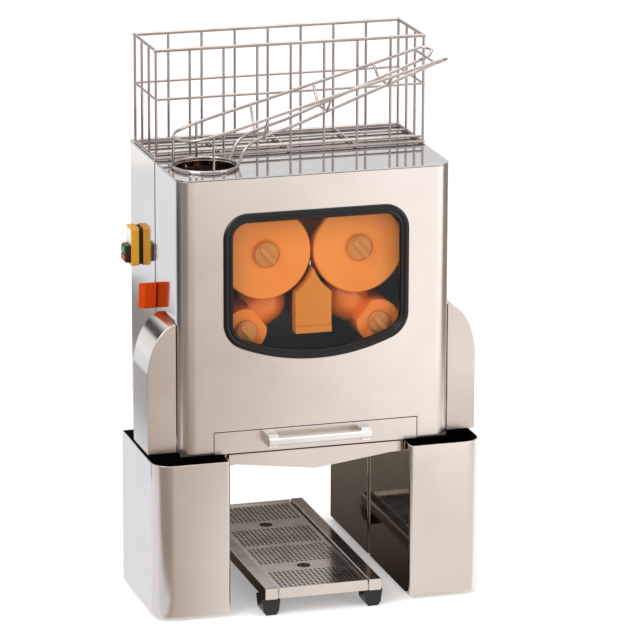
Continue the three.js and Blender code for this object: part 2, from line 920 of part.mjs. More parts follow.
// The four drums on their geared shafts, each in a group at its axis.
function drums() {
  const [upperLeft, upperRight, lowerLeft, lowerRight] = drumPlaces();
  const toward = ([ax, az], [bx, bz]) => Math.atan2(bz - az, bx - ax);
  const phaseRight = meshedPhase(0, cupTeeth, toward(upperLeft, upperRight), cupTeeth);
  const phaseLowLeft = meshedPhase(0, cupTeeth, toward(upperLeft, lowerLeft), ballTeeth);
  const phaseLowRight = meshedPhase(phaseRight, cupTeeth, toward(upperRight, lowerRight), ballTeeth);
  const phasePinion = meshedPhase(phaseLowLeft, ballTeeth, pinionAngle * degree, pinionTeeth);
  const sets = [
    ["cup", "left", upperLeft, cupDrum(cupAngle), cupTeeth, 0, knobRadius],
    ["cup", "right", upperRight, mirrored(cupDrum(cupAngle)), cupTeeth, phaseRight, knobRadius],
    ["ball", "left", lowerLeft, ballDrum(ballAngle), ballTeeth, phaseLowLeft, lowerKnobRadius],
    ["ball", "right", lowerRight, mirrored(ballDrum(ballAngle)), ballTeeth, phaseLowRight, lowerKnobRadius],
  ];
  const made = sets.map(([kind, side, [x, z], drum, teeth, phase, radius]) => {
    const set = group(
      piece(kind + "_drum_" + side, drum, drumPlastic),
      piece(kind + "_shaft_" + side, gearShaft(teeth, phase), gearSteel),
      piece(kind + "_knob_" + side, knob(radius), drumPlastic),
    );
    set.position.set(x, 0, z);
    return set;
  });
  const [motorX, motorZ] = pinionPlace();
  const pinion = join(
    bar(shaftRadius, gearFront, caseBack - seat),
    deep(gearShape(pinionTeeth, phasePinion), gearFront, gearFront + gearWidth),
  );
  const drive = group(
    piece("motor_pinion", pinion, gearSteel),
    piece("gear_motor", gearMotor(), motorPaint),
  );
  drive.position.set(motorX, 0, motorZ);
  return [...made, drive];
}

function gearMotor() {
  const front = caseBack + seat;
  const neck = front + motorHead;
  const back = machineBack - sheet - motorRoom - motorCap;
  return turnedProfile([
    [0, front],
    [motorHeadRadius, front],
    [motorHeadRadius, neck],
    [motorRadius, neck],
    [motorRadius, back],
    [motorRadius - motorCap, back + motorCap],
    [0, back + motorCap],
  ]);
}

// The case round the gears, closed in front by the drum plate, with a bearing hole for each shaft.
function gearCase() {
  const front = plateBack + seat;
  const outline = (inset) =>
    rounded(
      inset - caseHalf,
      caseBottom + inset,
      caseHalf - inset,
      caseTop - inset,
      caseRadius - inset,
    );
  const bearing = bar(shaftRadius + running, front, caseBack + overrun);
  const places = [...drumPlaces(), pinionPlace()];
  return cut(
    deep(outline(0), front, caseBack),
    deep(outline(caseWall), 0, caseBack - caseWall),
    places.map(([x, z]) => moved(bearing, x, 0, z)),
  );
}

// The holder between the drums: a front wedge with hollow shoulders, and a spine with the knife.
function knifeHolder() {
  const back = wedgeFront + wedgeThickness;
  const apexZ = upperZ - Math.sqrt(wedgeReach ** 2 - upperX ** 2);
  const shoulderZ = upperZ - Math.sqrt(wedgeReach ** 2 - (upperX - wedgeHalf) ** 2);
  const wedge = new THREE.Shape();
  const start = Math.atan2(shoulderZ - upperZ, upperX - wedgeHalf);
  const end = Math.atan2(apexZ - upperZ, upperX);
  wedge.moveTo(-wedgeHalf, wedgeBottom);
  wedge.lineTo(wedgeHalf, wedgeBottom);
  wedge.absarc(upperX, upperZ, wedgeReach, Math.PI - start, Math.PI - end, true);
  wedge.absarc(-upperX, upperZ, wedgeReach, end, start, true);
  wedge.closePath();
  const band = rounded(-wedgeHalf, wedgeBottom, wedgeHalf, wedgeBottom + wedgeBand, 0);
  const slotHalf = knifeHalf + seat;
  return cut(
    join(
      deep(wedge, wedgeFront, back),
      deep(band, wedgeFront - wedgeBandDepth, back),
      deep(rounded(-spineHalf, wedgeBottom, spineHalf, spineTop, 0), back - sheet, plateFront - seat),
    ),
    deep(rounded(-slotHalf, knifeBottom - seat, slotHalf, upperZ, 0), back, plateFront),
  );
}

function knifeBlade() {
  const back = wedgeFront + wedgeThickness;
  const blade = polygon(
    [-knifeHalf, knifeBottom],
    [knifeHalf, knifeBottom],
    [knifeHalf, knifeTop - knifeBevel],
    [0, knifeTop],
    [-knifeHalf, knifeTop - knifeBevel],
  );
  return deep(blade, back + seat, plateFront - seat);
}

// Sloping plates that lead the peel out, and the bent plate beside the upper left drum.
function guides() {
  const outer = bodyInner - seat;
  const front = deckFront + sheet;
  const back = plateFront - seat;
  const bend = coverRadius - sheet - seat;
  const inside = upright(rounded(-outer, sheet + seat, outer, back, bend, bend, 0, 0), 0, bodyTop);
  const slope = polygon(
    [guideInner, guideInnerZ],
    [outer, guideOuterZ],
    [outer, guideOuterZ + sheet],
    [guideInner + sheet, guideInnerZ + sheet],
    [guideInner + sheet, guideInnerZ + guideLip],
    [guideInner, guideInnerZ + guideLip],
  );
  const feed = polygon(
    [feedGuideX, topPlateBottom - seat],
    [feedGuideX, feedGuideMidZ],
    [feedGuideLowX, feedGuideLowZ],
    [feedGuideLowX + sheet, feedGuideLowZ],
    [feedGuideX + sheet, feedGuideMidZ],
    [feedGuideX + sheet, topPlateBottom - seat],
  );
  return [
    ...pair("peel_guide", deep(slope, front, back).intersect(inside), steel),
    piece("feed_guide", deep(feed, drumFront, back), steel),
  ];
}

// The strainer drawer: a front strip, a shallow tub and slots in its floor.
function drawer() {
  const low = deckTop + seat;
  const tub = cut(
    upright(rounded(-drawerHalf, sheet, drawerHalf, drawerBack, sheet), low, drawerTop),
    upright(
      rounded(sheet - drawerHalf, stripThickness, drawerHalf - sheet, drawerBack - sheet, sheet),
      low + sheet,
      drawerTop + overrun,
    ),
  );
  const strip = deep(rounded(-stripHalf, stripBottom, stripHalf, stripTop, 0), 0, stripThickness);
  const floorHalfX = tankOpeningHalf - strainerMargin;
  const pitchX = (2 * floorHalfX) / (strainerSlots - 1);
  const rowLength = (drawerBack - stripThickness - strainerMargin) / strainerRows - strainerMargin;
  const slots = [];
  for (let row = 0; row < strainerRows; row += 1) {
    const y = stripThickness + strainerMargin + row * (rowLength + strainerMargin);
    for (let i = 0; i < strainerSlots; i += 1) {
      const x = i * pitchX - floorHalfX;
      const slot = rounded(x - strainerSlotWidth / 2, y, x + strainerSlotWidth / 2, y + rowLength, 0);
      slots.push(upright(slot, low - overrun, low + overrun));
    }
  }
  return piece("strainer_drawer", join(cut(tub, slots), strip), steel);
}

function drawerHandle() {
  const feet = [-1, 1].map((side) => {
    const middle = side * (handleHalf - handleFoot / 2);
    const foot = rounded(
      middle - handleFoot / 2,
      handleTop - handleHeight,
      middle + handleFoot / 2,
      handleTop,
      handleRadius / 2,
    );
    return deep(foot, handleRadius - handleDepth, -seat);
  });
  const grip = rounded(
    -handleDepth,
    handleTop - handleHeight / 2 - handleBar / 2,
    handleBar - handleDepth,
    handleTop - handleHeight / 2 + handleBar / 2,
    handleRadius,
  );
  return piece("drawer_handle", join(feet, across(grip, -handleHalf, handleHalf)), handleMetal);
}

// The tank that gathers what the strainer lets through: its floor falls to an outlet.
function tank() {
  const trough = (inset) => {
    const half = tankHalf - inset;
    const top = inset ? tankTop + overrun : tankTop;
    return polygon(
      [0, tankVertex + inset],
      [half - tankLedge, tankSide + inset],
      [half, tankSide + inset],
      [half, top],
      [-half, top],
      [-half, tankSide + inset],
      [tankLedge - half, tankSide + inset],
    );
  };
  const shell = cut(
    deep(trough(0), tankFront, tankBack),
    deep(trough(sheet), tankFront + sheet, tankBack - sheet),
    moved(post(tankOutletRadius, 0, tankTop), 0, tankOutletY, 0),
  );
  return piece("juice_tank", shell, steel);
}

function buckets() {
  const inner = cupBayHalf;
  const base = baseTop + seat;
  const plan = (inset, outerRadius, innerRadius) =>
    rounded(
      inner + inset,
      bucketFront + inset,
      bucketOuter - inset,
      bucketBack - inset,
      innerRadius,
      outerRadius,
      innerRadius,
      innerRadius,
    );
  const bucket = cut(
    upright(plan(0, bucketRadius, bucketInnerRadius), base, bucketTop),
    upright(
      plan(sheet, bucketRadius - sheet, bucketInnerRadius - sheet),
      base + sheet,
      bucketTop + overrun,
    ),
  );
  return pair("peel_bucket", bucket, steel);
}

// The wire basket that stands on the top plate behind the mouth.
function basket() {
  const low = topPlateTop + seat + railRadius;
  const high = basketTop - railRadius;
  const x = basketHalf;
  const parts = [];
  const ring = (z, radius) => {
    parts.push(wire([-x - radius, basketFront, z], [x + radius, basketFront, z], radius));
    parts.push(wire([-x - radius, basketBack, z], [x + radius, basketBack, z], radius));
    parts.push(wire([-x, basketFront, z], [-x, basketBack, z], radius));
    parts.push(wire([x, basketFront, z], [x, basketBack, z], radius));
  };
  ring(low, railRadius);
  ring(basketMid, wireRadius);
  ring(high, railRadius);
  parts.push(wire([-x, basketFront, basketLow], [x, basketFront, basketLow], wireRadius));
  for (let i = 0; i <= frontWires; i += 1) {
    const at = (i * 2 * x) / frontWires - x;
    parts.push(wire([at, basketFront, low], [at, basketFront, high], wireRadius));
    parts.push(wire([at, basketBack, low], [at, basketBack, high], wireRadius));
    if (i % 2 === 0) parts.push(wire([at, basketFront, low], [at, basketBack, low], wireRadius));
  }
  for (let i = 1; i < sideWires; i += 1) {
    const y = basketFront + (i * (basketBack - basketFront)) / sideWires;
    parts.push(wire([-x, y, low], [-x, y, high], wireRadius));
    parts.push(wire([x, y, low], [x, y, high], wireRadius));
    parts.push(wire([-x, y, low], [x, y, low], wireRadius));
  }
  return piece("feed_basket", join(parts), wireChrome);
}

// The wire chute: a ring over the mouth, a rail that loops round it and climbs to the right at both
// sides, a floor rod below each rail that meets it in a hairpin, and the ties between them.
function chute() {
  const ringZ = topPlateTop + seat + chuteWire;
  const left = feedX - ringRadius;
  const front = -ringRadius;
  const bend = ringRadius * Math.SQRT1_2;
  const endX = chuteEndX - hairpinDepth;
  const slope = (chuteEndZ - chuteStartZ) / (chuteEndX - feedX);
  const railZ = (x) => chuteStartZ + (x - feedX) * slope;
  const floorZ = (x) => railZ(x) - floorDrop - (endX - x) * floorFanShare;
  const loopHalf = (side) => {
    const y = (offset) => feedY + side * offset;
    return bentWire([
      [left, feedY, loopLowZ],
      [feedX - bend, y(bend), loopLowZ],
      [feedX, y(ringRadius), chuteStartZ],
      [(feedX + chuteMidX) / 2, y(ringRadius), railZ((feedX + chuteMidX) / 2)],
      [chuteMidX, y(ringRadius), railZ(chuteMidX)],
      [(chuteMidX + endX) / 2, y(ringRadius), railZ((chuteMidX + endX) / 2)],
      [endX, y(ringRadius), railZ(endX)],
    ], chuteWire, loopSteps);
  };
  const hairpin = (side) => {
    const y = (offset) => feedY + side * offset;
    const lap = endX - hairpinDepth;
    return bentWire([
      [lap, y(ringRadius), railZ(lap)],
      [endX, y(ringRadius), railZ(endX)],
      [chuteEndX, y((ringRadius + floorHalf) / 2), chuteEndZ - floorDrop / 2],
      [endX, y(floorHalf), floorZ(endX)],
      [lap, y(floorHalf), floorZ(lap)],
    ], chuteWire, hairpinSteps);
  };
  const torus = new THREE.TorusGeometry(ringRadius, chuteWire, wireSides, roundSides);
  const ring = moved(solid(torus), feedX, feedY, ringZ);
  const floorStart = feedX + Math.sqrt(ringRadius ** 2 - floorHalf ** 2);
  const floorRod = (side) => {
    const y = feedY + side * floorHalf;
    return bentWire([
      [floorStart, y, ringZ],
      [floorStart + ringRadius / 3, y, floorZ(floorStart + ringRadius / 3)],
      [chuteMidX, y, floorZ(chuteMidX)],
      [endX, y, floorZ(endX)],
    ], chuteWire, loopSteps);
  };
  const ties = tieShares.flatMap((share) => {
    const x = feedX + share * (chuteEndX - feedX);
    const high = railZ(x);
    const low = floorZ(x);
    const [a, b] = [feedY + front, feedY - front];
    const [c, d] = [feedY - floorHalf, feedY + floorHalf];
    return [
      wire([x, a, high], [x, c, low], wireRadius),
      wire([x, c, low], [x, d, low], wireRadius),
      wire([x, d, low], [x, b, high], wireRadius),
    ];
  });
  const struts = [
    wire([feedX, feedY + front, ringZ], [feedX, feedY + front, chuteStartZ], wireRadius),
    wire([feedX, feedY - front, ringZ], [feedX, feedY - front, chuteStartZ], wireRadius),
    wire([left, feedY, ringZ], [left, feedY, loopLowZ], wireRadius),
  ];
  const crossX = chuteEndX - crossInset;
  const crossZ = railZ(crossX);
  const cross = wire([crossX, feedY + front, crossZ], [crossX, feedY - front, crossZ], wireRadius);
  const sides = [-1, 1].flatMap((side) => [loopHalf(side), hairpin(side), floorRod(side)]);
  return piece("feed_chute", join(sides, ring, ties, struts, cross), wireChrome);
}

// The drip tray: a pan between two rails, two lift-out grids and four feet.
function tray() {
  const inner = trayOuter - trayRail;
  const railLow = trayTop - trayRailHeight;
  const frame = cut(
    upright(rounded(-trayOuter, trayFront, trayOuter, trayBack, sheet), railLow, trayTop),
    upright(
      rounded(-inner, trayFront + sheet, inner, trayBack - sheet, sheet),
      trayFloor,
      trayTop + overrun,
    ),
  );
  const ledge = (y) => rounded(-inner - seat, y, inner + seat, y + trayLip, 0);
  const middle = (trayFront + trayBack) / 2;
  const ledges = [trayFront, middle - trayLip / 2, trayBack - trayLip].map((y) =>
    upright(ledge(y), trayFloor - seat, trayTop - gridDrop - gridThickness - seat),
  );
  const gridHalf = inner - seat;
  const gridSpans = {
    front: [trayFront + sheet + seat, middle - seat / 2],
    back: [middle + seat / 2, trayBack - sheet - seat],
  };
  const grids = Object.entries(gridSpans).map(([place, [near, far]]) =>
    piece("drip_grid_" + place, gridPlate(gridHalf, near, far), polished),
  );
  const footX = trayOuter - trayRail / 2 - sheet / 2;
  const foot = trayFoot();
  const feet = [
    ["front", trayFront + trayFootInset],
    ["back", trayBack - trayFootInset - trayFootDepth],
  ].flatMap(([place, y]) => pair("tray_foot_" + place, moved(foot, footX, y, 0), blackPlastic));
  return [piece("tray_pan", join(frame, ledges), steel), ...grids, ...feet];
}

// A grid with two fields of round holes and a plain band with a finger hole between them.
function gridPlate(half, near, far) {
  const low = trayTop - gridDrop - gridThickness;
  const middle = (near + far) / 2;
  const plate = rounded(-half, near, half, far, sheet);
  plate.holes.push(new THREE.Path(roundPoints(fingerRadius, shaftSides, 0, middle)));
  const fields = [
    [near + gridMargin, middle - gridBandHalf - gridHoleRadius],
    [middle + gridBandHalf + gridHoleRadius, far - gridMargin],
  ];
  const pitchX = (2 * (half - gridMargin)) / (gridColumns - 1);
  for (const [from, to] of fields) {
    for (let row = 0; row < gridRows; row += 1) {
      const y = from + ((to - from) * row) / (gridRows - 1);
      for (let column = 0; column < gridColumns; column += 1) {
        const x = column * pitchX - (half - gridMargin);
        plate.holes.push(new THREE.Path(roundPoints(gridHoleRadius, gridHoleSides, x, y)));
      }
    }
  }
  return upright(plate, low, low + gridThickness);
}

// A moulded foot under a rail, with cut lower corners.
function trayFoot() {
  const top = trayTop - trayRailHeight - seat;
  const half = trayFootWidth / 2;
  const outline = polygon(
    [-half + trayFootCut, 0],
    [half - trayFootCut, 0],
    [half - sheet, trayFootCut],
    [half, top],
    [-half, top],
    [-half + sheet, trayFootCut],
  );
  return deep(outline, 0, trayFootDepth);
}

// The push-button switch on the left wall, with a lever latch in front of it.
function controls() {
  const wall = -bodyHalf - seat;
  const housingOut = wall - switchGasket - switchDepth;
  const switchBack = switchFront + switchWidth;
  const housingOutline = (inset) =>
    rounded(
      switchFront + inset,
      switchBottom + inset,
      switchBack - inset,
      switchTop - inset,
      switchRadius - inset,
    );
  const housing = join(
    across(housingOutline(0), housingOut, wall - switchGasket),
    across(housingOutline(sheet), wall - switchGasket - sheet, wall),
  );
  const blockOut = housingOut - seat - blockDepth;
  const blockFront = switchFront + sheet;
  const blockBack = blockFront + blockWidth;
  const buttonFrom = blockOut - buttonRise;
  const buttonWell = blockOut + buttonDepth + buttonTravel - sheet;
  const buttonHigh = (blockHeight - 3 * buttonMargin) / 2;
  const buttonShape = (index, play) => {
    const low = blockBottom + buttonMargin + index * (buttonHigh + buttonMargin);
    return rounded(
      blockFront + buttonMargin - play,
      low - play,
      blockBack - buttonMargin + play,
      low + buttonHigh + play,
      0,
    );
  };
  const well = (index) => across(buttonShape(index, 0), blockOut - overrun, buttonWell);
  const blockOutline = rounded(
    blockFront,
    blockBottom,
    blockBack,
    blockBottom + blockHeight,
    sheet / 2,
  );
  const block = cut(
    across(blockOutline, blockOut, housingOut - seat),
    well(0),
    well(1),
  );
  const button = (index) => across(buttonShape(index, -seat), buttonFrom, buttonFrom + buttonDepth);
  return [
    piece("switch_housing", housing, yellowPlastic),
    piece("switch_block", block, blackPlastic),
    piece("stop_button", button(0), redPlastic),
    piece("start_button", button(1), greenPlastic),
    ...latch(),
  ];
}

// The lever that holds the cover. Its pin ends in a blind hole, so that none of it shows outside.
function latch() {
  const inner = -bodyHalf - seat;
  const outer = inner - latchThickness;
  const lever = cut(
    across(
      polygon(
        [latchFrontY, latchFrontZ],
        [latchFrontY + latchLean, latchFrontZ - latchHeight],
        [latchBackY + latchLean / 2, latchBackZ - latchHeight],
        [latchBackY, latchBackZ],
      ),
      outer,
      inner,
    ),
    across(disc(latchPin + seat, latchPivotY, latchPivotZ), outer + latchSkin, inner + overrun),
  );
  const pin = across(disc(latchPin, latchPivotY, latchPivotZ), outer + latchSkin + seat, inner);
  return [piece("cover_latch", lever, latchPlastic), piece("latch_pin", pin, steel)];
}

const juicer = group(
  stand(),
  body(),
  cover(),
  piece("gear_case", gearCase(), castMetal),
  drums(),
  piece("knife_holder", knifeHolder(), holderPlastic),
  piece("knife_blade", knifeBlade(), polished),
  guides(),
  drawer(),
  drawerHandle(),
  tank(),
  buckets(),
  basket(),
  chute(),
  tray(),
  controls(),
);
juicer.position.y = -(trayFront + machineBack) / 2;

export default group(juicer);
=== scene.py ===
# %% [markdown]
# # An automatic juicer, dressed
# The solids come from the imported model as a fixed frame. This notebook gives each its real finish,
# and replaces those whose bends, wires or holes deserve finer shapes. The frame is in metres. The
# numbers here are in millimetres, as on a drawing, with y counted from the front of the cover.

# %% Frame
import math
import bmesh
import bpy
from mathutils import Matrix, Vector


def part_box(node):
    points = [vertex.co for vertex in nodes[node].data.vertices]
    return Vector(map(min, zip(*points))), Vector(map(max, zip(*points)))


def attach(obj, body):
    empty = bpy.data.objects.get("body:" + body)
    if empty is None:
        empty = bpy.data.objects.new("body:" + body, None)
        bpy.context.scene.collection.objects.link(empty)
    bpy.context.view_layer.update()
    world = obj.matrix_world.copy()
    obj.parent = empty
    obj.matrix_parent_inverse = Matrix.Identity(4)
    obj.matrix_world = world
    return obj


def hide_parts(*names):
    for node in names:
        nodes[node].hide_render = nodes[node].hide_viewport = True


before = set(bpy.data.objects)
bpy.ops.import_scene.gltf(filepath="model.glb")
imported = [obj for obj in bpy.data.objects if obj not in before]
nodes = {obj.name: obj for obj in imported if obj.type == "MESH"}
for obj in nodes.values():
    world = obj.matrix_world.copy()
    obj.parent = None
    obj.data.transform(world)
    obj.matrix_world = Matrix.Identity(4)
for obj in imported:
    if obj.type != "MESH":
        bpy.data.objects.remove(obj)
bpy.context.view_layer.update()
MM = 0.001
cover_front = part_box("cover_panel")[0].y


def at(x, y, z):
    """A place in millimetres, y counted from the cover's front, as metres in the frame."""
    return Vector((x * MM, y * MM + cover_front, z * MM))


# %% [markdown]
# ## Camera
# The photograph was taken with a long lens, from the left and above. Its place and aim come from
# the corners of the cover and the top, so the render falls on the same pixels.

# %% Camera
scene = bpy.context.scene


def new_object(name, data):
    """An object in the scene for a mesh, a camera or a lamp."""
    made = bpy.data.objects.new(name, data)
    scene.collection.objects.link(made)
    return made


camera_data = bpy.data.cameras.new("photo_camera")
camera_data.lens = 252.63
camera_data.sensor_width = 36
camera_data.clip_start = 0.5
camera_data.clip_end = 60
camera = new_object("photo_camera", camera_data)
aim = Vector((0.27820329, 0.92320885, -0.26511949))
right = Vector((0.95771593, -0.28769829, 0.00314619))
up = Vector((0.07336984, 0.25478444, 0.96421043))
place = (-1.667154, -5.705586, 1.992734)
camera.matrix_world = Matrix.Translation(place) @ Matrix((right, up, -aim)).transposed().to_4x4()
scene.camera = camera
print("camera at", [round(v, 3) for v in camera.location])

# %% [markdown]
# ## Shapes from outlines
# Folded sheet, tube and plate all have one outline along their whole length. So most pieces start
# as an outline with true arcs, drawn in two of the three directions and pulled out in the third.

# %% Outlines
PLANES = {
    "xy": lambda u, v, w: at(u, v, w),
    "xz": lambda u, v, w: at(u, w, v),
    "yz": lambda u, v, w: at(w, u, v),
}
ARC_STEPS = 10


def arc(u, v, radius, start, end, steps=ARC_STEPS):
    """Points along an arc about (u, v), between two angles in degrees."""
    points = []
    for i in range(steps + 1):
        angle = math.radians(start + (end - start) * i / steps)
        points.append((u + radius * math.cos(angle), v + radius * math.sin(angle)))
    return points


def box_outline(left, low, right, high, *radii):
    """A rectangle, its corners rounded from the lower left one counter-clockwise."""
    a, b, c, d = radii if len(radii) == 4 else radii * 4
    corners = [(left + a, low + a, a, 180), (right - b, low + b, b, 270),
               (right - c, high - c, c, 0), (left + d, high - d, d, 90)]
    points = []
    for u, v, radius, start in corners:
        points += arc(u, v, radius, start, start + 90) if radius > 0 else [(u, v)]
    return points


def circle_outline(u, v, radius, sides=48):
    """A circle, or only its centre where the radius is nought."""
    return arc(u, v, radius, 0, 360, sides)[:-1] if radius else [(u, v)]


print("a rounded square has", len(box_outline(0, 0, 20, 20, 4)), "points")

# %% [markdown]
# An outline becomes a solid in two ways. Pulled out, it is a prism. Set out as rings, one after
# the other, it gets a skin from each ring to the next, as a turned piece does.

# %% Prisms and skins
def object_from(name, form, solid=True):
    """A mesh object from a bmesh. A solid's doubles are merged and its faces turned outwards."""
    if solid:
        bmesh.ops.remove_doubles(form, verts=form.verts, dist=1e-7)
        bmesh.ops.recalc_face_normals(form, faces=form.faces)
    mesh = bpy.data.meshes.new(name)
    form.to_mesh(mesh)
    form.free()
    return new_object(name, mesh)


def prism(outline, low, high, plane="xy", name="prism"):
    """An outline in one plane, pulled out from one height to another."""
    form = bmesh.new()
    ends = [[form.verts.new(PLANES[plane](u, v, w)) for u, v in outline] for w in (low, high)]
    for end in ends:
        form.faces.new(end)
    count = len(outline)
    for i in range(count):
        j = (i + 1) % count
        form.faces.new((ends[0][i], ends[0][j], ends[1][j], ends[1][i]))
    return object_from(name, form)


def skin(name, rings):
    """Faces from each ring of points to the next, and round to the first. One point is a tip."""
    form = bmesh.new()
    sides = max(len(ring) for ring in rings)
    loops = [[form.verts.new(point) for point in ring] for ring in rings]
    for one, two in zip(loops, loops[1:] + loops[:1]):
        if len(one) == 1 and len(two) == 1:
            continue
        for i in range(sides):
            j = (i + 1) % sides
            corners = [one[i % len(one)], one[j % len(one)], two[j % len(two)], two[i % len(two)]]
            form.faces.new(list(dict.fromkeys(corners)))
    return object_from(name, form)


def revolved(profile, x, z, sides=96):
    """A closed profile of (radius, y) points, turned about an axis along y through (x, z)."""
    return skin("turned", [
        [at(x + u, y, z + v) for u, v in circle_outline(0, 0, radius, sides)]
        for radius, y in profile
    ])


# %% [markdown]
# Pieces are then cut, joined, mirrored, and their edges eased. Each change is a modifier whose
# result becomes the piece's own mesh.

# %% Cutting, easing and mirroring
def freeze(piece):
    """Makes the result of a piece's modifiers its own mesh."""
    depsgraph = bpy.context.evaluated_depsgraph_get()
    shown = piece.evaluated_get(depsgraph)
    mesh = bpy.data.meshes.new_from_object(
        shown, preserve_all_data_layers=True, depsgraph=depsgraph
    )
    piece.modifiers.clear()
    piece.data = mesh
    return piece


def combine(piece, operation, *tools):
    """Cuts the tools from a piece, or joins them to it, and deletes them."""
    for tool in tools:
        step = piece.modifiers.new(operation, "BOOLEAN")
        step.operation = operation
        step.solver = "EXACT"
        step.object = tool
    freeze(piece)
    for tool in tools:
        bpy.data.objects.remove(tool)
    return piece


def cut(piece, *tools):
    return combine(piece, "DIFFERENCE", *tools)


def fuse(piece, *tools):
    return combine(piece, "UNION", *tools)


def level_normals(piece):
    """Lets the large faces rule the shading, so that flats stay flat."""
    flat = piece.modifiers.new("flats", "WEIGHTED_NORMAL")
    flat.weight = 50
    return freeze(piece)


def ease(piece, edge, segments=2, angle=32):
    """Breaks sharp edges by a few tenths of a millimetre and keeps the flats flat."""
    step = piece.modifiers.new("edges", "BEVEL")
    step.width = edge * MM
    step.segments = segments
    step.limit_method = "ANGLE"
    step.angle_limit = math.radians(angle)
    for face in piece.data.polygons:
        face.use_smooth = True
    return level_normals(piece)


def gathered(name, *parts):
    """Several meshes as one object."""
    form = bmesh.new()
    for part in parts:
        form.from_mesh(part.data)
        bpy.data.objects.remove(part)
    return object_from(name, form, solid=False)


def mirror_x(piece):
    """A copy of a piece on the other side of the middle."""
    form = bmesh.new()
    form.from_mesh(piece.data)
    bmesh.ops.transform(form, matrix=Matrix.Scale(-1, 4, (1, 0, 0)), verts=form.verts)
    bmesh.ops.reverse_faces(form, faces=form.faces)
    made = object_from("mirrored", form, solid=False)
    stored = made.data.attributes.get("custom_normal")
    if stored:
        made.data.attributes.remove(stored)
    for face in made.data.polygons:
        face.use_smooth = True
    return level_normals(made)


# %% [markdown]
# ## Finishes
# Colours are written as sRGB hex and turned to the linear values that a shader wants. One small
# function adds a node with its settings and its links.

# %% Colours and nodes
def colour(code):
    """A hex sRGB colour as linear red, green, blue and alpha."""
    parts = [int(code[i:i + 2], 16) / 255 for i in (1, 3, 5)]
    linear = [c / 12.92 if c <= 0.04045 else ((c + 0.055) / 1.055) ** 2.4 for c in parts]
    return (*linear, 1.0)


def link(tree, source, node, key):
    """Links a socket, or a node's first output, to an input of another node."""
    socket = source.outputs[0] if isinstance(source, bpy.types.Node) else source
    tree.links.new(socket, node.inputs[key])


def add(tree, kind, settings=None, **links):
    """Adds a node, sets its properties or inputs, and links its inputs."""
    node = tree.nodes.new(kind)
    for key, value in (settings or {}).items():
        if key in node.inputs:
            node.inputs[key].default_value = value
        else:
            setattr(node, key, value)
    for key, source in links.items():
        link(tree, source, node, key.replace("_", " "))
    return node


def material(name, **settings):
    """A material with one principled shader, its constants set on the shader's own sockets."""
    made = bpy.data.materials.new(name)
    made.use_nodes = True
    made.node_tree.nodes.clear()
    values = {key.replace("_", " "): value for key, value in settings.items()}
    shader = add(made.node_tree, "ShaderNodeBsdfPrincipled", values)
    add(made.node_tree, "ShaderNodeOutputMaterial", Surface=shader)
    print("material", name)
    return made, made.node_tree, shader


print("mid grey is", round(colour("#808080")[0], 3), "in linear light")

# %% [markdown]
# No real surface is one flat colour. Noise with a scale counted per metre, so that its grains have
# a real size, drives small changes of colour and roughness.

# %% Patterns
def ramp(tree, source, low, high, start=0.3, end=0.7):
    """Turns a pattern's value into a colour between two hex colours."""
    node = add(tree, "ShaderNodeValToRGB", Fac=source)
    for stop, share, code in zip(node.color_ramp.elements, (start, end), (low, high)):
        stop.position, stop.color = share, colour(code)
    return node


def pattern(tree, per_metre, detail=2.0, stretch=(1, 1, 1)):
    """Noise in object coordinates, stretched along one direction."""
    place = add(tree, "ShaderNodeTexCoord")
    scaled = add(tree, "ShaderNodeMapping", {"Scale": stretch}, Vector=place.outputs["Object"])
    settings = {"Scale": per_metre, "Detail": detail}
    return add(tree, "ShaderNodeTexNoise", settings, Vector=scaled)


def spread(tree, source, low, high):
    """Spreads a pattern's value over a range."""
    return add(tree, "ShaderNodeMapRange", {"To Min": low, "To Max": high}, Value=source)


def relief(tree, shader, height, strength, depth):
    """Lets a pattern tilt the surface a little, to a depth in metres."""
    bump = add(tree, "ShaderNodeBump", {"Strength": strength, "Distance": depth}, Height=height)
    link(tree, bump, shader, "Normal")


def vary(tree, shader, tint, low, high, gloss, rough, dull):
    """Colour between two tones by one pattern, roughness between two values by another."""
    link(tree, ramp(tree, tint, low, high), shader, "Base Color")
    link(tree, spread(tree, gloss, rough, dull), shader, "Roughness")


# %% [markdown]
# ### Brushed stainless steel
# The housing is 304 stainless with a No. 4 finish: an abrasive belt leaves fine level scratches,
# which draw reflections out up and down to soft bands. Real scratches are some 0.05 mm apart. Here
# they are about 0.8 mm apart, as coarse as shows. The sides have a brighter mill finish, and the
# bends of the wings lie between the two.

# %% Brushed steel
SCRATCHES, CLOUDS = 1300, 9
LEVEL_GRAIN, FLAT_GRAIN = (0.02, 0.02, 1), (0.02, 1, 1)


def brushed_steel(name, low, high, grain_along=LEVEL_GRAIN, rough=(0.2, 0.3), bump=0.02):
    made, tree, shader = material(name, Metallic=1.0)
    grain = pattern(tree, SCRATCHES, 3.0, grain_along)
    vary(tree, shader, pattern(tree, CLOUDS), low, high, grain, *rough)
    relief(tree, shader, grain, bump, 0.0001)
    return made


steel_front = brushed_steel("stainless_brushed", "#dfd6cf", "#e8e0da")
# The right wing's copy of the brushed steel is painted darker: painted shade.
steel_wing_painted_shade = brushed_steel("stainless_brushed_wing_painted_shade", "#c6beb8", "#d0c8c2")
steel_bend = brushed_steel(
    "stainless_brushed_bend", "#d5cfc9", "#dcd6d0", rough=(0.14, 0.2), bump=0.006
)
steel_side = brushed_steel(
    "stainless_mill_bright", "#d9d3cc", "#e0dad4", rough=(0.07, 0.11), bump=0.006
)
steel_level = brushed_steel("stainless_brushed_flat", "#cfc6bd", "#d8d0c8", FLAT_GRAIN)
# The inside sheet is the same steel painted dark brown: painted shade of the closed chamber and of
# the buckets' insides.
steel_inside_painted_shade = brushed_steel("stainless_inside_painted_shade", "#5d554f", "#69605a", rough=(0.3, 0.45))
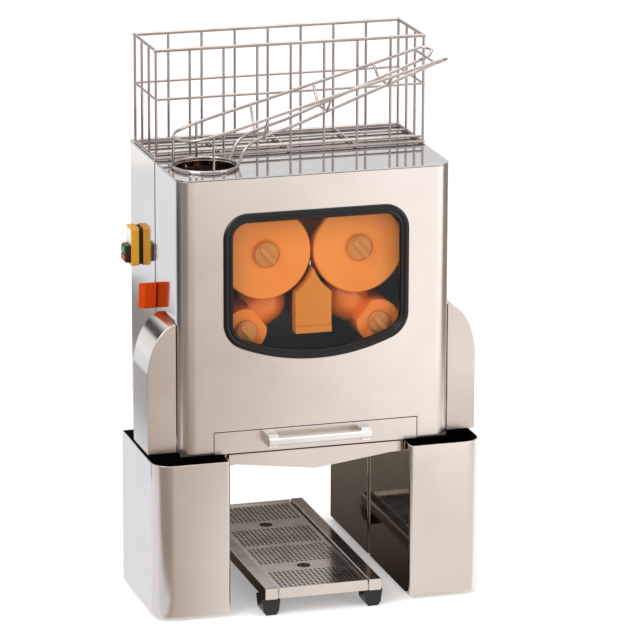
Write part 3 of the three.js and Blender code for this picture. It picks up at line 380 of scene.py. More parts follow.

# %% [markdown]
# ### Polished stainless, wire and aluminium
# The top plate, the drip grids and the bay's walls are bright annealed sheet that mirrors what is
# near. The bay's walls are painted darker and warmer than the top plate: painted shade under the
# deck. Basket and chute are bright drawn rod, painted a tone darker and warmer: painted shade for
# the room that a thin round rod mirrors whole. The drawer's handle is bright aluminium.

# %% Bright metals
SMEARS, SWELLS = 30, 12


def bright_metal(name, low, high, rough, dull, waves=0.0):
    made, tree, shader = material(name, Metallic=1.0)
    smear = pattern(tree, SMEARS, 3.0)
    vary(tree, shader, smear, low, high, smear, rough, dull)
    if waves:
        relief(tree, shader, pattern(tree, SWELLS, 1.0), waves, 0.0005)
    return made


mirror_steel = bright_metal("stainless_mirror_polished", "#b6b4b2", "#c1bfbd", 0.03, 0.08, 0.1)
# The bay's copy of the polished steel is painted darker and warmer: painted shade under the deck.
bay_steel_painted_shade = bright_metal("stainless_mirror_bay_painted_shade", "#a79b8f", "#b3a89c", 0.04, 0.09, 0.1)
grid_steel = bright_metal("stainless_bright_sheet", "#b9aea6", "#c6bcb4", 0.1, 0.2)
rail_steel = bright_metal("stainless_tube_polished", "#a2978f", "#b0a69e", 0.08, 0.16)
# The rod steel is painted a tone darker and warmer: painted shade for the room that the rods mirror.
rod_steel_painted_shade = bright_metal("steel_rod_painted_shade", "#a89c97", "#bbb1ac", 0.12, 0.2)
aluminium = bright_metal("aluminium_bright", "#f2f1ef", "#f8f7f5", 0.2, 0.32)
cast = bright_metal("aluminium_cast", "#9c9da0", "#a8a9ab", 0.5, 0.65)
machined = bright_metal("steel_machined", "#7c7d80", "#8c8d90", 0.3, 0.45)

# %% [markdown]
# ### Plastics and rubber
# The drums are food-grade moulded nylon, satin with a faint moulding grain of about 1 mm. The
# gasket is extruded EPDM rubber, glossy where it is wiped. Switch, buttons and latch are moulded
# ABS. The latch has no clear shine, so that its red stays deep on the side that faces away.

# %% Moulded finishes
TONES, MOULD_GRAIN = 18, 900


def moulded(name, low, high, rough, dull, grain=0.05, **settings):
    made, tree, shader = material(name, **settings)
    tone = pattern(tree, TONES, 3.0)
    vary(tree, shader, tone, low, high, tone, rough, dull)
    relief(tree, shader, pattern(tree, MOULD_GRAIN), grain, 0.0002)
    return made


drum_nylon = moulded("nylon_moulded_warm", "#f6892a", "#fc9536", 0.4, 0.5, Specular_IOR_Level=0.3)
ball_nylon = moulded("nylon_moulded_warm_deep", "#fa7d18", "#ff8b26", 0.16, 0.24)
knob_nylon = moulded("nylon_moulded_amber", "#c97a26", "#d48632", 0.34, 0.44)
holder_nylon = moulded(
    "nylon_moulded_ochre", "#d57a18", "#de8622", 0.42, 0.52, Specular_IOR_Level=0.3
)
rubber = moulded(
    "epdm_rubber_black", "#050506", "#09090a", 0.2, 0.28, grain=0.02, Specular_IOR_Level=0.4
)
foot_rubber = moulded("rubber_black_matt", "#151516", "#1f1f20", 0.5, 0.65)
black_abs = moulded("abs_black", "#141416", "#1e1e20", 0.3, 0.42)
yellow_abs = moulded("abs_yellow", "#d3971c", "#e0a528", 0.32, 0.42)
red_abs = moulded("abs_red_gloss", "#c03c12", "#d24a1a", 0.2, 0.3, Specular_IOR_Level=0.0)
stop_abs = moulded("abs_red", "#9e1c18", "#b0241d", 0.32, 0.4)
start_abs = moulded("abs_green", "#1d6b38", "#277a43", 0.32, 0.4)
label_vinyl = moulded("vinyl_label_white", "#e9e8e4", "#f2f1ee", 0.4, 0.5, grain=0.01)
motor_enamel = moulded("enamel_grey", "#33373c", "#3d4147", 0.4, 0.5)

# %% [markdown]
# ### Window
# The pane is clear acrylic, 2 mm thick. So thin a pane needs no real refraction: it is nearly
# transparent, and a faint shine tells the eye that there is a window.

# %% Clear pane
pane_acrylic, pane_tree, pane_shader = material(
    "acrylic_clear", Base_Color=colour("#70787a"), Roughness=0.04, IOR=1.49, Alpha=0.05
)
haze = spread(pane_tree, pattern(pane_tree, 25), 0.02, 0.07)
link(pane_tree, haze, pane_shader, "Roughness")
print("materials:", len(bpy.data.materials))

# %% [markdown]
# ## Placing a piece
# Each finished piece gets its material, rides on a body of the frame, and stands for the solids that
# it replaces. Doubled faces go first.

# %% Dressing
def dress(piece, name, finish, body, slot, *replaced):
    piece.name = name
    piece.data.name = name
    piece.data.validate()
    piece.data.materials.clear()
    piece.data.materials.append(finish)
    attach(piece, body)
    if replaced:
        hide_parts(*replaced)
    print(name, len(piece.data.polygons), "faces")


def coat(finish, *names):
    """Gives CAD nodes that stay their finish."""
    for name in names:
        nodes[name].data.materials.clear()
        nodes[name].data.materials.append(finish)
    print(finish.name, "on", *names)


def both(*names):
    """Each name with its left and its right ending."""
    return [name + side for name in names for side in ("_left", "_right")]


# %% [markdown]
# One sheet can have two finishes, such as a side wall brighter than the front. Then the faces that
# pass a test on their middle and their direction take a second material.

# %% Second finish
def face_finish(piece, finish, test):
    """Gives the faces that pass a test, in millimetres, a second finish."""
    piece.data.materials.append(finish)
    slot = len(piece.data.materials) - 1
    count = 0
    for face in piece.data.polygons:
        middle = (face.center - at(0, 0, 0)) / MM
        if test(middle, face.normal):
            face.material_index = slot
            count += 1
    print(" ", finish.name, "on", count, "faces")


def faces_sideways(middle, normal):
    return abs(normal.x) > 0.98 and middle.x * normal.x > 0


# %% [markdown]
# ## Stand
# Two square legs carry a deck. Each leg is a bent tube, polished inside the bay, and stands on a
# base plate that also carries a peel bucket.

# %% Legs, deck and base plates
def tube(outer, inner, low, high, plane="xy"):
    """A thin-walled tube from two outlines."""
    return cut(prism(outer, low, high, plane), prism(inner, low - 9, high + 9, plane))


BAY_HALF, BACK = 126, 352
leg = ease(tube(
    box_outline(BAY_HALF, 164, 166, BACK, 6),
    box_outline(BAY_HALF + 2, 166, 164, BACK - 2, 4), 6.3, 220.7,
), 0.4)


def faces_bay(middle, normal):
    """The walls that face the bay between the legs."""
    return abs(middle.x) < BAY_HALF + 0.5 and middle.x * normal.x < 0 and abs(normal.x) > 0.9


for side, piece in (("right", leg), ("left", mirror_x(leg))):
    dress(piece, "leg_tube_" + side, steel_front, "machine", "brushed_steel", "leg_" + side)
    # The walls that face the bay take the polished steel with painted shade.
    face_finish(piece, bay_steel_painted_shade, faces_bay)
coat(steel_level, "deck", *both("base_plate", "tank_runner"))
coat(foot_rubber, *both("foot_front", "foot_back"))

# %% [markdown]
# ## Body
# The back of the housing is one sheet bent round three sides. The top plate is polished, with round
# front corners that follow the cover, and a collar where the feed drops in.

# %% Body shell
HALF, LOW, HIGH = 190, 225.4, 600
shell = tube(
    box_outline(-HALF, 125.9, HALF, 260, 0, 0, 6, 6),
    box_outline(2 - HALF, 100, HALF - 2, 258, 0, 0, 4, 4), LOW - 0.1, HIGH,
)
motor_x, motor_z = -29.094, 373.918
shell = cut(shell, prism(circle_outline(motor_x, motor_z, 48), 240, 280, "xz"))
dress(ease(shell, 0.4), "housing_shell", steel_front, "machine", "brushed_steel", "body_shell")
face_finish(shell, steel_side, faces_sideways)

# %% Top plate and hood
feed_x, feed_y = -134, 72
top = prism(box_outline(-HALF, 0, HALF, 260, 22, 22, 6, 6), 600.3, 602.3)
collar = prism(circle_outline(feed_x, feed_y, 43, 64), 594.3, 601.5)
top = fuse(top, collar)
top = cut(top, prism(circle_outline(feed_x, feed_y, 41, 64), 560, 640))
dress(ease(top, 0.5), "top_sheet", mirror_steel, "machine", "polished_steel", "top_plate")

hood = prism(box_outline(-150, 260.3, 150, BACK, 0, 0, 12, 12), LOW - 0.1, 480)
hollow = prism(box_outline(-148, 200, 148, BACK - 2, 0, 0, 10, 10), 200, 478)
slots = [
    prism(box_outline(-60, 468 - 22 * i, 60, 474 - 22 * i, 2.9), 340, 360, "xz")
    for i in range(1, 8)
]
cut(hood, hollow, gathered("slots", *slots))
dress(ease(hood, 0.4), "rear_hood", steel_front, "machine", "brushed_steel", "motor_hood")
# The drum plate and the guides in the chamber take the steel with painted shade.
coat(steel_inside_painted_shade, "drum_plate", "feed_guide", *both("peel_guide"))
coat(cast, "gear_case")
coat(motor_enamel, "gear_motor")

# %% [markdown]
# The cover closes against a dark rubber strip on the housing's front edge, which shows as the dark
# line between the two.

# %% Seam strips
SIDES = (("left", -1), ("right", 1))
for side, sign in SIDES:
    near, far = sorted((sign * 187, sign * 189.6))
    strip = prism(box_outline(near, 121.5, far, 125.8, 0), LOW, 599.9)
    dress(ease(strip, 0.3), "seam_strip_" + side, rubber, "machine", "black_rubber")

# %% [markdown]
# ## Cover
# The cover is one sheet too, bent back at both sides. A window is cut in its front, a port for the
# peel in each side, and a notch at the bottom for the drawer.

# %% Window outline
def window_outline(inset):
    """The window's rounded outline with a bowed lower edge, drawn in by an inset."""
    half, top, drop = 129 - inset, 553 - inset, 347 + 274
    top_radius, side_radius, bow = 34 - inset, 38 - inset, 274 - inset
    side_x = half - side_radius
    side_z = drop - math.sqrt((bow - side_radius) ** 2 - side_x ** 2)
    swing = math.degrees(math.atan2(side_x, drop - side_z))
    return (
        arc(0, drop, bow, -90 - swing, -90 + swing, 24)[:-1]
        + arc(side_x, side_z, side_radius, swing - 90, 0, 12)
        + arc(half - top_radius, top - top_radius, top_radius, 0, 90, 12)
        + arc(top_radius - half, top - top_radius, top_radius, 90, 180, 12)
        + arc(-side_x, side_z, side_radius, 180, 270 - swing, 12)[:-1]
    )


# %% Cover panel
panel = tube(
    box_outline(-HALF, 0, HALF, 121, 22, 22, 0, 0),
    box_outline(2 - HALF, 2, HALF - 2, 140, 20, 20, 0, 0), LOW, HIGH,
)
panel = cut(
    panel,
    prism(window_outline(5), -9, 9, "xz"),
    prism(box_outline(-143, 200, 143, 254, 0), -9, 9, "xz"),
    prism(box_outline(24, 238, 84, 384, 8), -210, 210, "yz"),
)
dress(ease(panel, 0.35), "cover_sheet", steel_front, "cover", "brushed_steel", "cover_panel")
face_finish(panel, steel_side, faces_sideways)

# %% [markdown]
# The gasket is one rubber section that runs round the window. Its section is drawn as pairs of
# inset and depth, and the same outline function gives every line of it.

# %% Gasket and pane
GASKET_SECTION = [
    (0, -0.3), (0.1, -1.4), (0.8, -2.4), (2.2, -3.1), (4.2, -3.3), (6.2, -3.2), (7.2, -2.7),
    (7.7, -2.1), (8.3, -2.1), (8.8, -2.6), (10.2, -2.9), (11.8, -2.5), (12.7, -1.6), (13, -0.4),
    (13, 2.4), (12.7, 4.2), (11.6, 5.1), (9, 5.3), (5, 5.3), (1.4, 5.1), (0.2, 4.2), (0, 2.3),
    (5.3, 2.1), (5.3, -0.2),
]
gasket = skin("gasket", [
    [at(u, depth, v) for u, v in window_outline(inset)] for inset, depth in GASKET_SECTION
])
for face in gasket.data.polygons:
    face.use_smooth = True
gasket.data.set_sharp_from_angle(angle=math.radians(50))
dress(gasket, "window_rubber", rubber, "cover", "black_rubber", "window_gasket")
pane = ease(prism(window_outline(10.3), 0, 2, "xz"), 0.2)
dress(pane, "window_acrylic", pane_acrylic, "cover", "window_glass", "window_pane")

# %% [markdown]
# ## Wings
# A hollow wing hangs beside the cover on each side and leads the peel down into the bucket. Its
# shoulder is a wide bend.

# %% Peel wings
WING_WALL, WING_OUTER, WING_TOP = 190.3, 230, 403
WING_FRONT, WING_BACK, BEND_STEPS = 16, 92, 24


def wing_outline(inset):
    """The wing seen from the front: wall, outer side and the bend of its shoulder."""
    wall, outer, top = WING_WALL - inset, WING_OUTER - inset, WING_TOP - inset
    low = LOW - (9 if inset else 0)
    start, knee, end = (outer, 336), (224 - inset, 392 - inset), (193.1, top)
    bend = []
    for i in range(BEND_STEPS + 1):
        t = i / BEND_STEPS
        first, second, third = (1 - t) ** 2, 2 * t * (1 - t), t ** 2
        bend.append(tuple(first * a + second * b + third * c for a, b, c in zip(start, knee, end)))
    return [(wall, low), (outer, low)] + bend + [(wall, top)]


wing = prism(wing_outline(0), WING_FRONT, WING_BACK, "xz")
hollow = prism(wing_outline(2), WING_FRONT + 2, WING_BACK - 2, "xz")
wing = ease(cut(wing, hollow), 0.8, 3)
# The right wing takes the brushed steel with painted shade, the left wing the plain one.
wings = (("right", wing, steel_wing_painted_shade), ("left", mirror_x(wing), steel_front))
for side, piece, finish in wings:
    dress(piece, "wing_" + side, finish, "cover", "brushed_steel", "peel_wing_" + side)
    face_finish(piece, steel_bend, lambda middle, normal: abs(normal.y) < 0.6)

# %% [markdown]
# ## Drums
# Two pairs of drums halve and press. Each upper drum is a solid nylon disc, turned here from its
# profile, and three balls cut its round cups.

# %% Cup drums
UPPER_X, UPPER_Z, LOWER_X, LOWER_Z = 65, 491, 92.9, 386.321
DRUM_FRONT, DRUM_BACK, DRUM_MIDDLE, BORE = 20, 110, 65, 9.3
CUP_REACH, CUP_RADIUS = 63, 38


def sphere(x, y, z, radius):
    form, place = bmesh.new(), Matrix.Translation(at(x, y, z))
    bmesh.ops.create_uvsphere(form, u_segments=48, v_segments=32, radius=radius * MM, matrix=place)
    return object_from("ball", form)


def cup_drum(side, angles):
    """A disc with a groove round its knob, and a cup at each of the angles."""
    x, z = side * UPPER_X, UPPER_Z
    edge = arc(60, DRUM_FRONT + 3, 3, -90, 0, 5)
    back = arc(60, DRUM_BACK - 3, 3, 0, 90, 5)
    groove = [(18.2, DRUM_FRONT), (18.2, 21.2), (19.6, 21.2), (19.6, DRUM_FRONT)]
    drum = revolved([(BORE, DRUM_FRONT)] + groove + edge + back + [(BORE, DRUM_BACK)], x, z)
    balls = []
    for angle in map(math.radians, angles):
        u, v = CUP_REACH * math.cos(angle), CUP_REACH * math.sin(angle)
        balls.append(sphere(x + u, DRUM_MIDDLE, z + v, CUP_RADIUS))
    return ease(cut(drum, *balls), 0.6, 3)


CUP_DRUMS = (("left", -1, (-80.2, 39.8, 159.8)), ("right", 1, (260.2, 140.2, 20.2)))
for side, sign, angles in CUP_DRUMS:
    drum = cup_drum(sign, angles)
    dress(drum, "cup_wheel_" + side, drum_nylon, "cup_" + side, "drum_plastic", "cup_drum_" + side)

# %% [markdown]
# Each lower drum is a hub with two flats, and on each flat a ball that presses into a cup as both
# turn. The ball is a ring skin, so that its neck and its dome are one smooth form.

# %% Ball drums
BALL_REACH, BALL_RADIUS, FLAT = 45.333, 31, 25


def ball_drum(side, angle):
    """A hub with two flats, and a ball on a short neck on each flat."""
    x, z = side * LOWER_X, LOWER_Z
    edge = arc(28.5, DRUM_FRONT + 1.5, 1.5, -90, 0, 4)
    form = revolved([(BORE, DRUM_FRONT)] + edge + [(30, DRUM_BACK), (BORE, DRUM_BACK)], x, z)
    round_top = arc(0, BALL_REACH, BALL_RADIUS, 0, 90, 14)[:-1]
    dome = [(0, FLAT), (29, FLAT)] + round_top + [(0, BALL_REACH + BALL_RADIUS)]
    rings = [
        [at(lift, u, v) for u, v in circle_outline(DRUM_MIDDLE, 0, radius, 64)]
        for radius, lift in dome
    ]
    for half_turn in (180, 0):
        tilt = Matrix.Rotation(-math.radians(angle + half_turn), 4, "Y")
        far = Matrix.Translation(at(x, 0, z)) @ tilt @ Matrix.Translation(-at(0, 0, 0))
        slab = prism(box_outline(FLAT, -60, 60, 60, 0), 10, 120, "xz")
        slab.data.transform(far)
        form = cut(form, slab)
        ball = skin("ball", rings)
        ball.data.transform(far)
        form = fuse(form, ball)
    form = cut(form, prism(circle_outline(x, z, BORE), 0, 130, "xz"))
    return ease(form, 0.6, 2)


for side, sign, angle in (("left", -1, 38), ("right", 1, 142)):
    drum, body = ball_drum(sign, angle), "ball_" + side
    dress(drum, "ball_wheel_" + side, ball_nylon, body, "drum_plastic", "ball_drum_" + side)
coat(machined, "motor_pinion", *both("cup_shaft", "ball_shaft"))

# %% [markdown]
# A knob locks each drum on its shaft. Its grip is a bar across a domed disc, and all four stand at
# the same slant.

# %% Knobs
KNOB_TURN = math.radians(50)


def knob(x, z, radius):
    rim = [(radius - 4, 13.2), (radius - 1.6, 13.8), (radius - 0.3, 15.2), (radius, 17)]
    stem = [(radius, 19.7), (9, 19.7), (9, 29.7), (0, 29.7)]
    disc = revolved([(0, 13.4)] + rim + stem, x, z, 72)
    bar = prism(box_outline(2.4 - radius, -3.2, radius - 2.4, 3.2, 1.6), 8.9, 15, "xz")
    place = Matrix.Translation(at(x, 0, z)) @ Matrix.Rotation(KNOB_TURN, 4, "Y")
    bar.data.transform(place @ Matrix.Translation(-at(0, 0, 0)))
    return ease(fuse(disc, bar), 0.7, 3)


for side, sign in SIDES:
    for kind, x, z, radius in (("cup", UPPER_X, UPPER_Z, 17), ("ball", LOWER_X, LOWER_Z, 15)):
        node, made = kind + "_knob_" + side, knob(sign * x, z, radius)
        body = kind + "_knob_" + side[0]
        dress(made, kind + "_lock_" + side, knob_nylon, body, "drum_plastic", node)

coat(holder_nylon, "knife_holder")
coat(grid_steel, "knife_blade")

# %% [markdown]
# ## Drawer and tank
# The strainer drawer fills the notch in the cover. Its handle is a bright bar on two blocks. The
# tank below catches what the strainer lets through; its floor falls to the outlet.

# %% Drawer, handle and tank
coat(steel_front, "strainer_drawer", "juice_tank")
grip = prism(box_outline(-24, 236, -14, 246, 3), -72, 72, "yz")
blocks = [prism(box_outline(low, 232, low + 14, 250, 2), -20, -0.3, "xz") for low in (-72, 58)]
handle = ease(fuse(grip, *blocks), 0.5, 2)
dress(handle, "drawer_grip", aluminium, "drawer", "handle_metal", "drawer_handle")

# %% [markdown]
# ## Peel buckets
# A bucket stands beside each leg on the base plate. Its outer front corner is a wide bend, so that
# it reads as part of the stand.

# %% Buckets
bucket = prism(box_outline(BAY_HALF, -24, 230, 160, 5, 26, 5, 5), 6.3, 219)
bucket = cut(bucket, prism(box_outline(BAY_HALF + 2, -22, 228, 158, 3, 24, 3, 3), 8.3, 240))
bucket = ease(bucket, 0.4)
BUCKET_MIDDLE = Vector((178, 68, 0))


def faces_bucket_inside(middle, normal):
    """The floor, and the walls that face the middle of the bucket."""
    if abs(normal.z) > 0.9:
        return 8 < middle.z < 9
    out = Vector((abs(middle.x), middle.y, 0)) - BUCKET_MIDDLE
    return out.x * math.copysign(1, middle.x) * normal.x + out.y * normal.y < 0


for name, piece in (("bucket_right", bucket), ("bucket_left", mirror_x(bucket))):
    dress(piece, name, steel_front, name, "brushed_steel", "peel_" + name)
    face_finish(piece, steel_side, faces_sideways)
    # The walls that face the bay take the polished steel with painted shade.
    face_finish(piece, bay_steel_painted_shade, faces_bay)
    # The buckets' floors and inner walls take the steel with painted shade.
    face_finish(piece, steel_inside_painted_shade, faces_bucket_inside)

# %% [markdown]
# ## Wirework
# Basket and chute are welded rod. Their centre lines are drawn as edges, and one Geometry Nodes
# tree wraps each in a round section.

# %% Tree helpers
def start_tree(name, **inputs):
    """An empty tree with a geometry in and out, and the named inputs."""
    tree = bpy.data.node_groups.new(name, "GeometryNodeTree")
    socket = tree.interface.new_socket
    for label, kind in {"Geometry": "Geometry", **inputs}.items():
        socket(label, in_out="INPUT", socket_type="NodeSocket" + kind)
    socket("Geometry", in_out="OUTPUT", socket_type="NodeSocketGeometry")
    return tree, add(tree, "NodeGroupInput").outputs


def end_tree(tree, geometry, finish):
    """Gives the geometry its material and hands it to the output."""
    coated = add(tree, "GeometryNodeSetMaterial", {"Material": finish}, Geometry=geometry)
    add(tree, "NodeGroupOutput", Geometry=coated)
    print(tree.name, "has", len(tree.nodes), "nodes")
    return tree


def apply_tree(piece, tree, **values):
    """Runs a tree on a piece. The modifier stores an input under its identifier."""
    step = piece.modifiers.new(tree.name, "NODES")
    step.node_group = tree
    for item in tree.interface.items_tree:
        if item.item_type == "SOCKET" and item.in_out == "INPUT" and item.name in values:
            step[item.identifier] = values[item.name]
    return freeze(piece)


# %% Wire tree
def wire_tree(finish):
    tree, given = start_tree("wrap_wires", Radius="Float")
    line = add(tree, "GeometryNodeMeshToCurve", Mesh=given["Geometry"])
    section = add(
        tree, "GeometryNodeCurvePrimitiveCircle", {"Resolution": 10}, Radius=given["Radius"]
    )
    caps = {"Fill Caps": True}
    wrapped = add(tree, "GeometryNodeCurveToMesh", caps, Curve=line, Profile_Curve=section)
    smooth = add(tree, "GeometryNodeSetShadeSmooth", Geometry=wrapped)
    return end_tree(tree, add(tree, "GeometryNodeRealizeInstances", Geometry=smooth), finish)


# The wires take the rod steel with painted shade.
wrap_wires = wire_tree(rod_steel_painted_shade)


def wires(name, lines, radius):
    """Wraps lines of points in round wire. A line that ends where it began is closed."""
    form = bmesh.new()
    for points in lines:
        corners = [form.verts.new(at(*p)) for p in points[:-1]]
        closed = points[0] == points[-1]
        corners.append(corners[0] if closed else form.verts.new(at(*points[-1])))
        for one, two in zip(corners, corners[1:]):
            form.edges.new((one, two))
    return apply_tree(object_from(name, form, solid=False), wrap_wires, Radius=radius * MM)


# %% [markdown]
# The basket is a cage of thick rails, low and high, with thinner rods between them. Every rod ends
# on the middle line of another, as a weld holds it.

# %% Basket
RAIL, ROD = 2.4, 1.75
low_rail, high_rail, side_x = 605.1, 752.5, 187.5
near, far, SPACES = 124, 236, 8


def basket_ring(z, reach):
    """Four straight lines at one height. The long ones reach a little past the corners."""
    x = side_x + reach
    long = [((-x, y, z), (x, y, z)) for y in (near, far)]
    return long + [((x, near, z), (x, far, z)) for x in (-side_x, side_x)]


rails = basket_ring(low_rail, 2.5) + basket_ring(high_rail, 2.5)
rods = basket_ring(686, 1.9) + [((-side_x, near, 613), (side_x, near, 613))]
for i in range(SPACES + 1):
    x = -side_x + i * 2 * side_x / SPACES
    rods += [((x, y, low_rail), (x, y, high_rail)) for y in (near, far)]
    if i % 2 == 0:
        rods.append(((x, near, low_rail), (x, far, low_rail)))
for i in (1, 2):
    y = near + i * (far - near) / 3
    rods += [((x, y, low_rail), (x, y, high_rail)) for x in (-side_x, side_x)]
    rods.append(((-side_x, y, low_rail), (side_x, y, low_rail)))
basket = gathered("basket", wires("rails", rails, RAIL), wires("rods", rods, ROD))
dress(basket, "basket_wires", rod_steel_painted_shade, "basket", "chrome_wire", "feed_basket")

# %% [markdown]
# The chute's rails are rod bent in smooth curves. A Catmull-Rom curve passes through the points of
# the bends, as the rod does through the bender's stops.

# %% Smooth curve
def curve_through(points, steps=14):
    """A smooth curve through the points. A span's time is the root of its length."""
    ends = [Vector(points[0]) * 2 - Vector(points[1])] + [Vector(p) for p in points]
    ends.append(Vector(points[-1]) * 2 - Vector(points[-2]))

    def between(one, two, start, end, t):
        return one * ((end - t) / (end - start)) + two * ((t - start) / (end - start))

    made = []
    for a, b, c, d in zip(ends, ends[1:], ends[2:], ends[3:]):
        t1 = (b - a).length ** 0.5
        t2 = t1 + (c - b).length ** 0.5
        t3 = t2 + (d - c).length ** 0.5
        for i in range(steps):
            t = t1 + (t2 - t1) * i / steps
            middle = between(b, c, t1, t2, t)
            before = between(between(a, b, 0, t1, t), middle, 0, t2, t)
            after = between(middle, between(c, d, t2, t3, t), t1, t3, t)
            made.append(between(before, after, t1, t2, t))
    return made + [Vector(points[-1])]


# %% Chute
ring_z, ring, hook_z = 604.9, 44, 646
chute_start, chute_end, chute_long = 653, 741, 326
slope = (chute_end - chute_start) / chute_long
bend_x, tip_x, last_tie = 182, 192, 172
front_y, back_y = feed_y - ring, feed_y + ring
FLOOR_HALF = 20


def rail_z(x):
    return chute_start + (x - feed_x) * slope


def floor_z(x):
    """The floor rods close up to the rails towards the hairpins."""
    return rail_z(x) - 9 - (bend_x - x) * 0.1


bend = ring * math.sqrt(0.5)
floor_start = feed_x + math.sqrt(ring ** 2 - FLOOR_HALF ** 2)
loops = []
for side in (-1, 1):
    y_rail, y_floor = feed_y + side * ring, feed_y + side * FLOOR_HALF
    rod = [(feed_x - ring, feed_y, hook_z), (feed_x - bend, feed_y + side * bend, hook_z)]
    rod += [(x, y_rail, rail_z(x)) for x in (feed_x, -37, 60, 121, last_tie, bend_x)]
    rod.append((tip_x, feed_y + side * 32, 736.5))
    rod += [(x, y_floor, floor_z(x)) for x in (bend_x, last_tie, 121, 60, -10, -80.1)]
    rod.append((floor_start, y_floor, ring_z))
    loops.append(curve_through(rod))
around = [(feed_x + u, feed_y + v, ring_z) for u, v in circle_outline(0, 0, ring, 48)]
loops.append(around + around[:1])
ties = []
for share in (0.23, 0.5, 0.76):
    x = feed_x + share * chute_long
    floor_ys = (feed_y - FLOOR_HALF, feed_y + FLOOR_HALF)
    tie = [(x, front_y, rail_z(x))] + [(x, y, floor_z(x)) for y in floor_ys]
    ties.append(tie + [(x, back_y, rail_z(x))])
ties += [((feed_x, y, ring_z), (feed_x, y, chute_start)) for y in (front_y, back_y)]
ties.append(((feed_x - ring, feed_y, ring_z), (feed_x - ring, feed_y, hook_z)))
tie_z = rail_z(last_tie)
ties.append(((last_tie, front_y, tie_z), (last_tie, back_y, tie_z)))
chute = gathered("chute", wires("loops", loops, 2.2), wires("ties", ties, ROD))
dress(chute, "chute_wires", rod_steel_painted_shade, "chute", "chrome_wire", "feed_chute")

# %% [markdown]
# ## Drip tray
# The tray stands between the legs on its own black feet. Two square bars with bright caps form its
# sides, and a sheet between them carries two grids.

# %% Tray frame
TRAY_HALF, TRAY_LOW, TRAY_HIGH = 82, 24, 40
tray_parts = []


def side_bars(inner, near_y, far_y, corner, *edge):
    """A bar on each side of the tray, with rounded corners and eased edges."""
    for sign in (-1, 1):
        low, high = sorted((sign * TRAY_HALF, sign * inner))
        outline = box_outline(low, TRAY_LOW, high, TRAY_HIGH, corner)
        tray_parts.append(ease(prism(outline, near_y, far_y, "xz"), *edge))


side_bars(64, -37, 339, 1.6, 0.3)
side_bars(63.9, -38, -34, 2.2, 0.8, 3)
side_bars(63.9, 336, 340, 2.2, 0.8, 3)
for near_y, far_y in ((-37, -35.6), (337.6, 339)):
    outline = box_outline(-62.6, 24.4, 62.6, 39.4, 0)
    tray_parts.append(ease(prism(outline, near_y, far_y, "xz"), 0.5))
tray_parts.append(prism(box_outline(-64, -36, 64, 338, 0), 25, 27))
for near_y, far_y in ((-35.8, -33), (148.5, 153.5), (335, 337.8)):
    tray_parts.append(prism(box_outline(-63.9, near_y, 63.9, far_y, 0), 26.5, 33.6))
tray = gathered("tray", *tray_parts)
dress(tray, "tray_frame", rail_steel, "tray", "brushed_steel", "tray_pan")
face_finish(tray, steel_front, lambda middle, normal: normal.y < -0.9)

# %% [markdown]
# The holes of a grid repeat, so a tree sets out one cell, a small square with a round hole, in
# rows and columns.

# %% Perforation tree
PITCH, HOLE, COLUMNS, ROWS = 6.4, 2.3, 18, 11
SHEET_LOW, SHEET_HIGH, CELL_SIDES = 34.3, 35.9, 8


def cell():
    """One square cell of perforated sheet, centred on the origin."""
    outer, inner = [], []
    for c, s in circle_outline(0, 0, 1, CELL_SIDES):
        scale = PITCH / 2 / max(abs(c), abs(s))
        outer.append((c * scale, s * scale))
        inner.append((c * HOLE, s * HOLE))
    edges = ((outer, SHEET_LOW), (inner, SHEET_LOW), (inner, SHEET_HIGH), (outer, SHEET_HIGH))
    return skin("cell", [[Vector((x, y, z)) * MM for x, y in line] for line, z in edges])


def grid_tree(finish, unit):
    tree, given = start_tree(
        "lay_cells", Width="Float", Length="Float", Columns="Int", Rows="Int", Middle="Vector"
    )
    points = add(
        tree, "GeometryNodeMeshGrid", Size_X=given["Width"], Size_Y=given["Length"],
        Vertices_X=given["Columns"], Vertices_Y=given["Rows"],
    )
    shape = add(tree, "GeometryNodeObjectInfo", {"Object": unit}).outputs["Geometry"]
    laid = add(tree, "GeometryNodeInstanceOnPoints", Points=points, Instance=shape)
    placed = add(tree, "GeometryNodeTransform", Geometry=laid, Translation=given["Middle"])
    real = add(tree, "GeometryNodeRealizeInstances", Geometry=placed)
    merged = add(tree, "GeometryNodeMergeByDistance", {"Distance": 0.00001}, Geometry=real)
    return end_tree(tree, merged, finish)


unit = cell()
lay_cells = grid_tree(grid_steel, unit)


# %% [markdown]
# A grid is one punched sheet with two fields of holes. The plain bands are plates, and a finger
# hole in the middle one lifts it out.

# %% Drip grids
GRID_HALF, FIELD_CENTRE = 63.6, 52.4


def field(middle_y):
    """One field of holes, laid out by the tree."""
    return apply_tree(
        new_object("field", bpy.data.meshes.new("field")), lay_cells,
        Width=PITCH * (COLUMNS - 1) * MM, Length=PITCH * (ROWS - 1) * MM,
        Columns=COLUMNS, Rows=ROWS, Middle=at(0, middle_y, 0),
    )


def plate(left, near_y, right, far_y):
    return prism(box_outline(left, near_y, right, far_y, 0), SHEET_LOW, SHEET_HIGH)


def drip_grid(near_y, far_y):
    """Two fields, the plain plates round them and the band with its finger hole."""
    middle = (near_y + far_y) / 2
    half_x, half_field = PITCH * COLUMNS / 2, PITCH * ROWS / 2
    front, back = middle - FIELD_CENTRE, middle + FIELD_CENTRE
    band = plate(-half_x, front + half_field, half_x, back - half_field)
    cut(band, prism(circle_outline(0, middle, 9.5, 40), 30, 40))
    return gathered(
        "grid", field(front), field(back), band,
        plate(-GRID_HALF, near_y, GRID_HALF, front - half_field),
        plate(-GRID_HALF, back + half_field, GRID_HALF, far_y),
        plate(-GRID_HALF, front - half_field, -half_x, back + half_field),
        plate(half_x, front - half_field, GRID_HALF, back + half_field),
    )


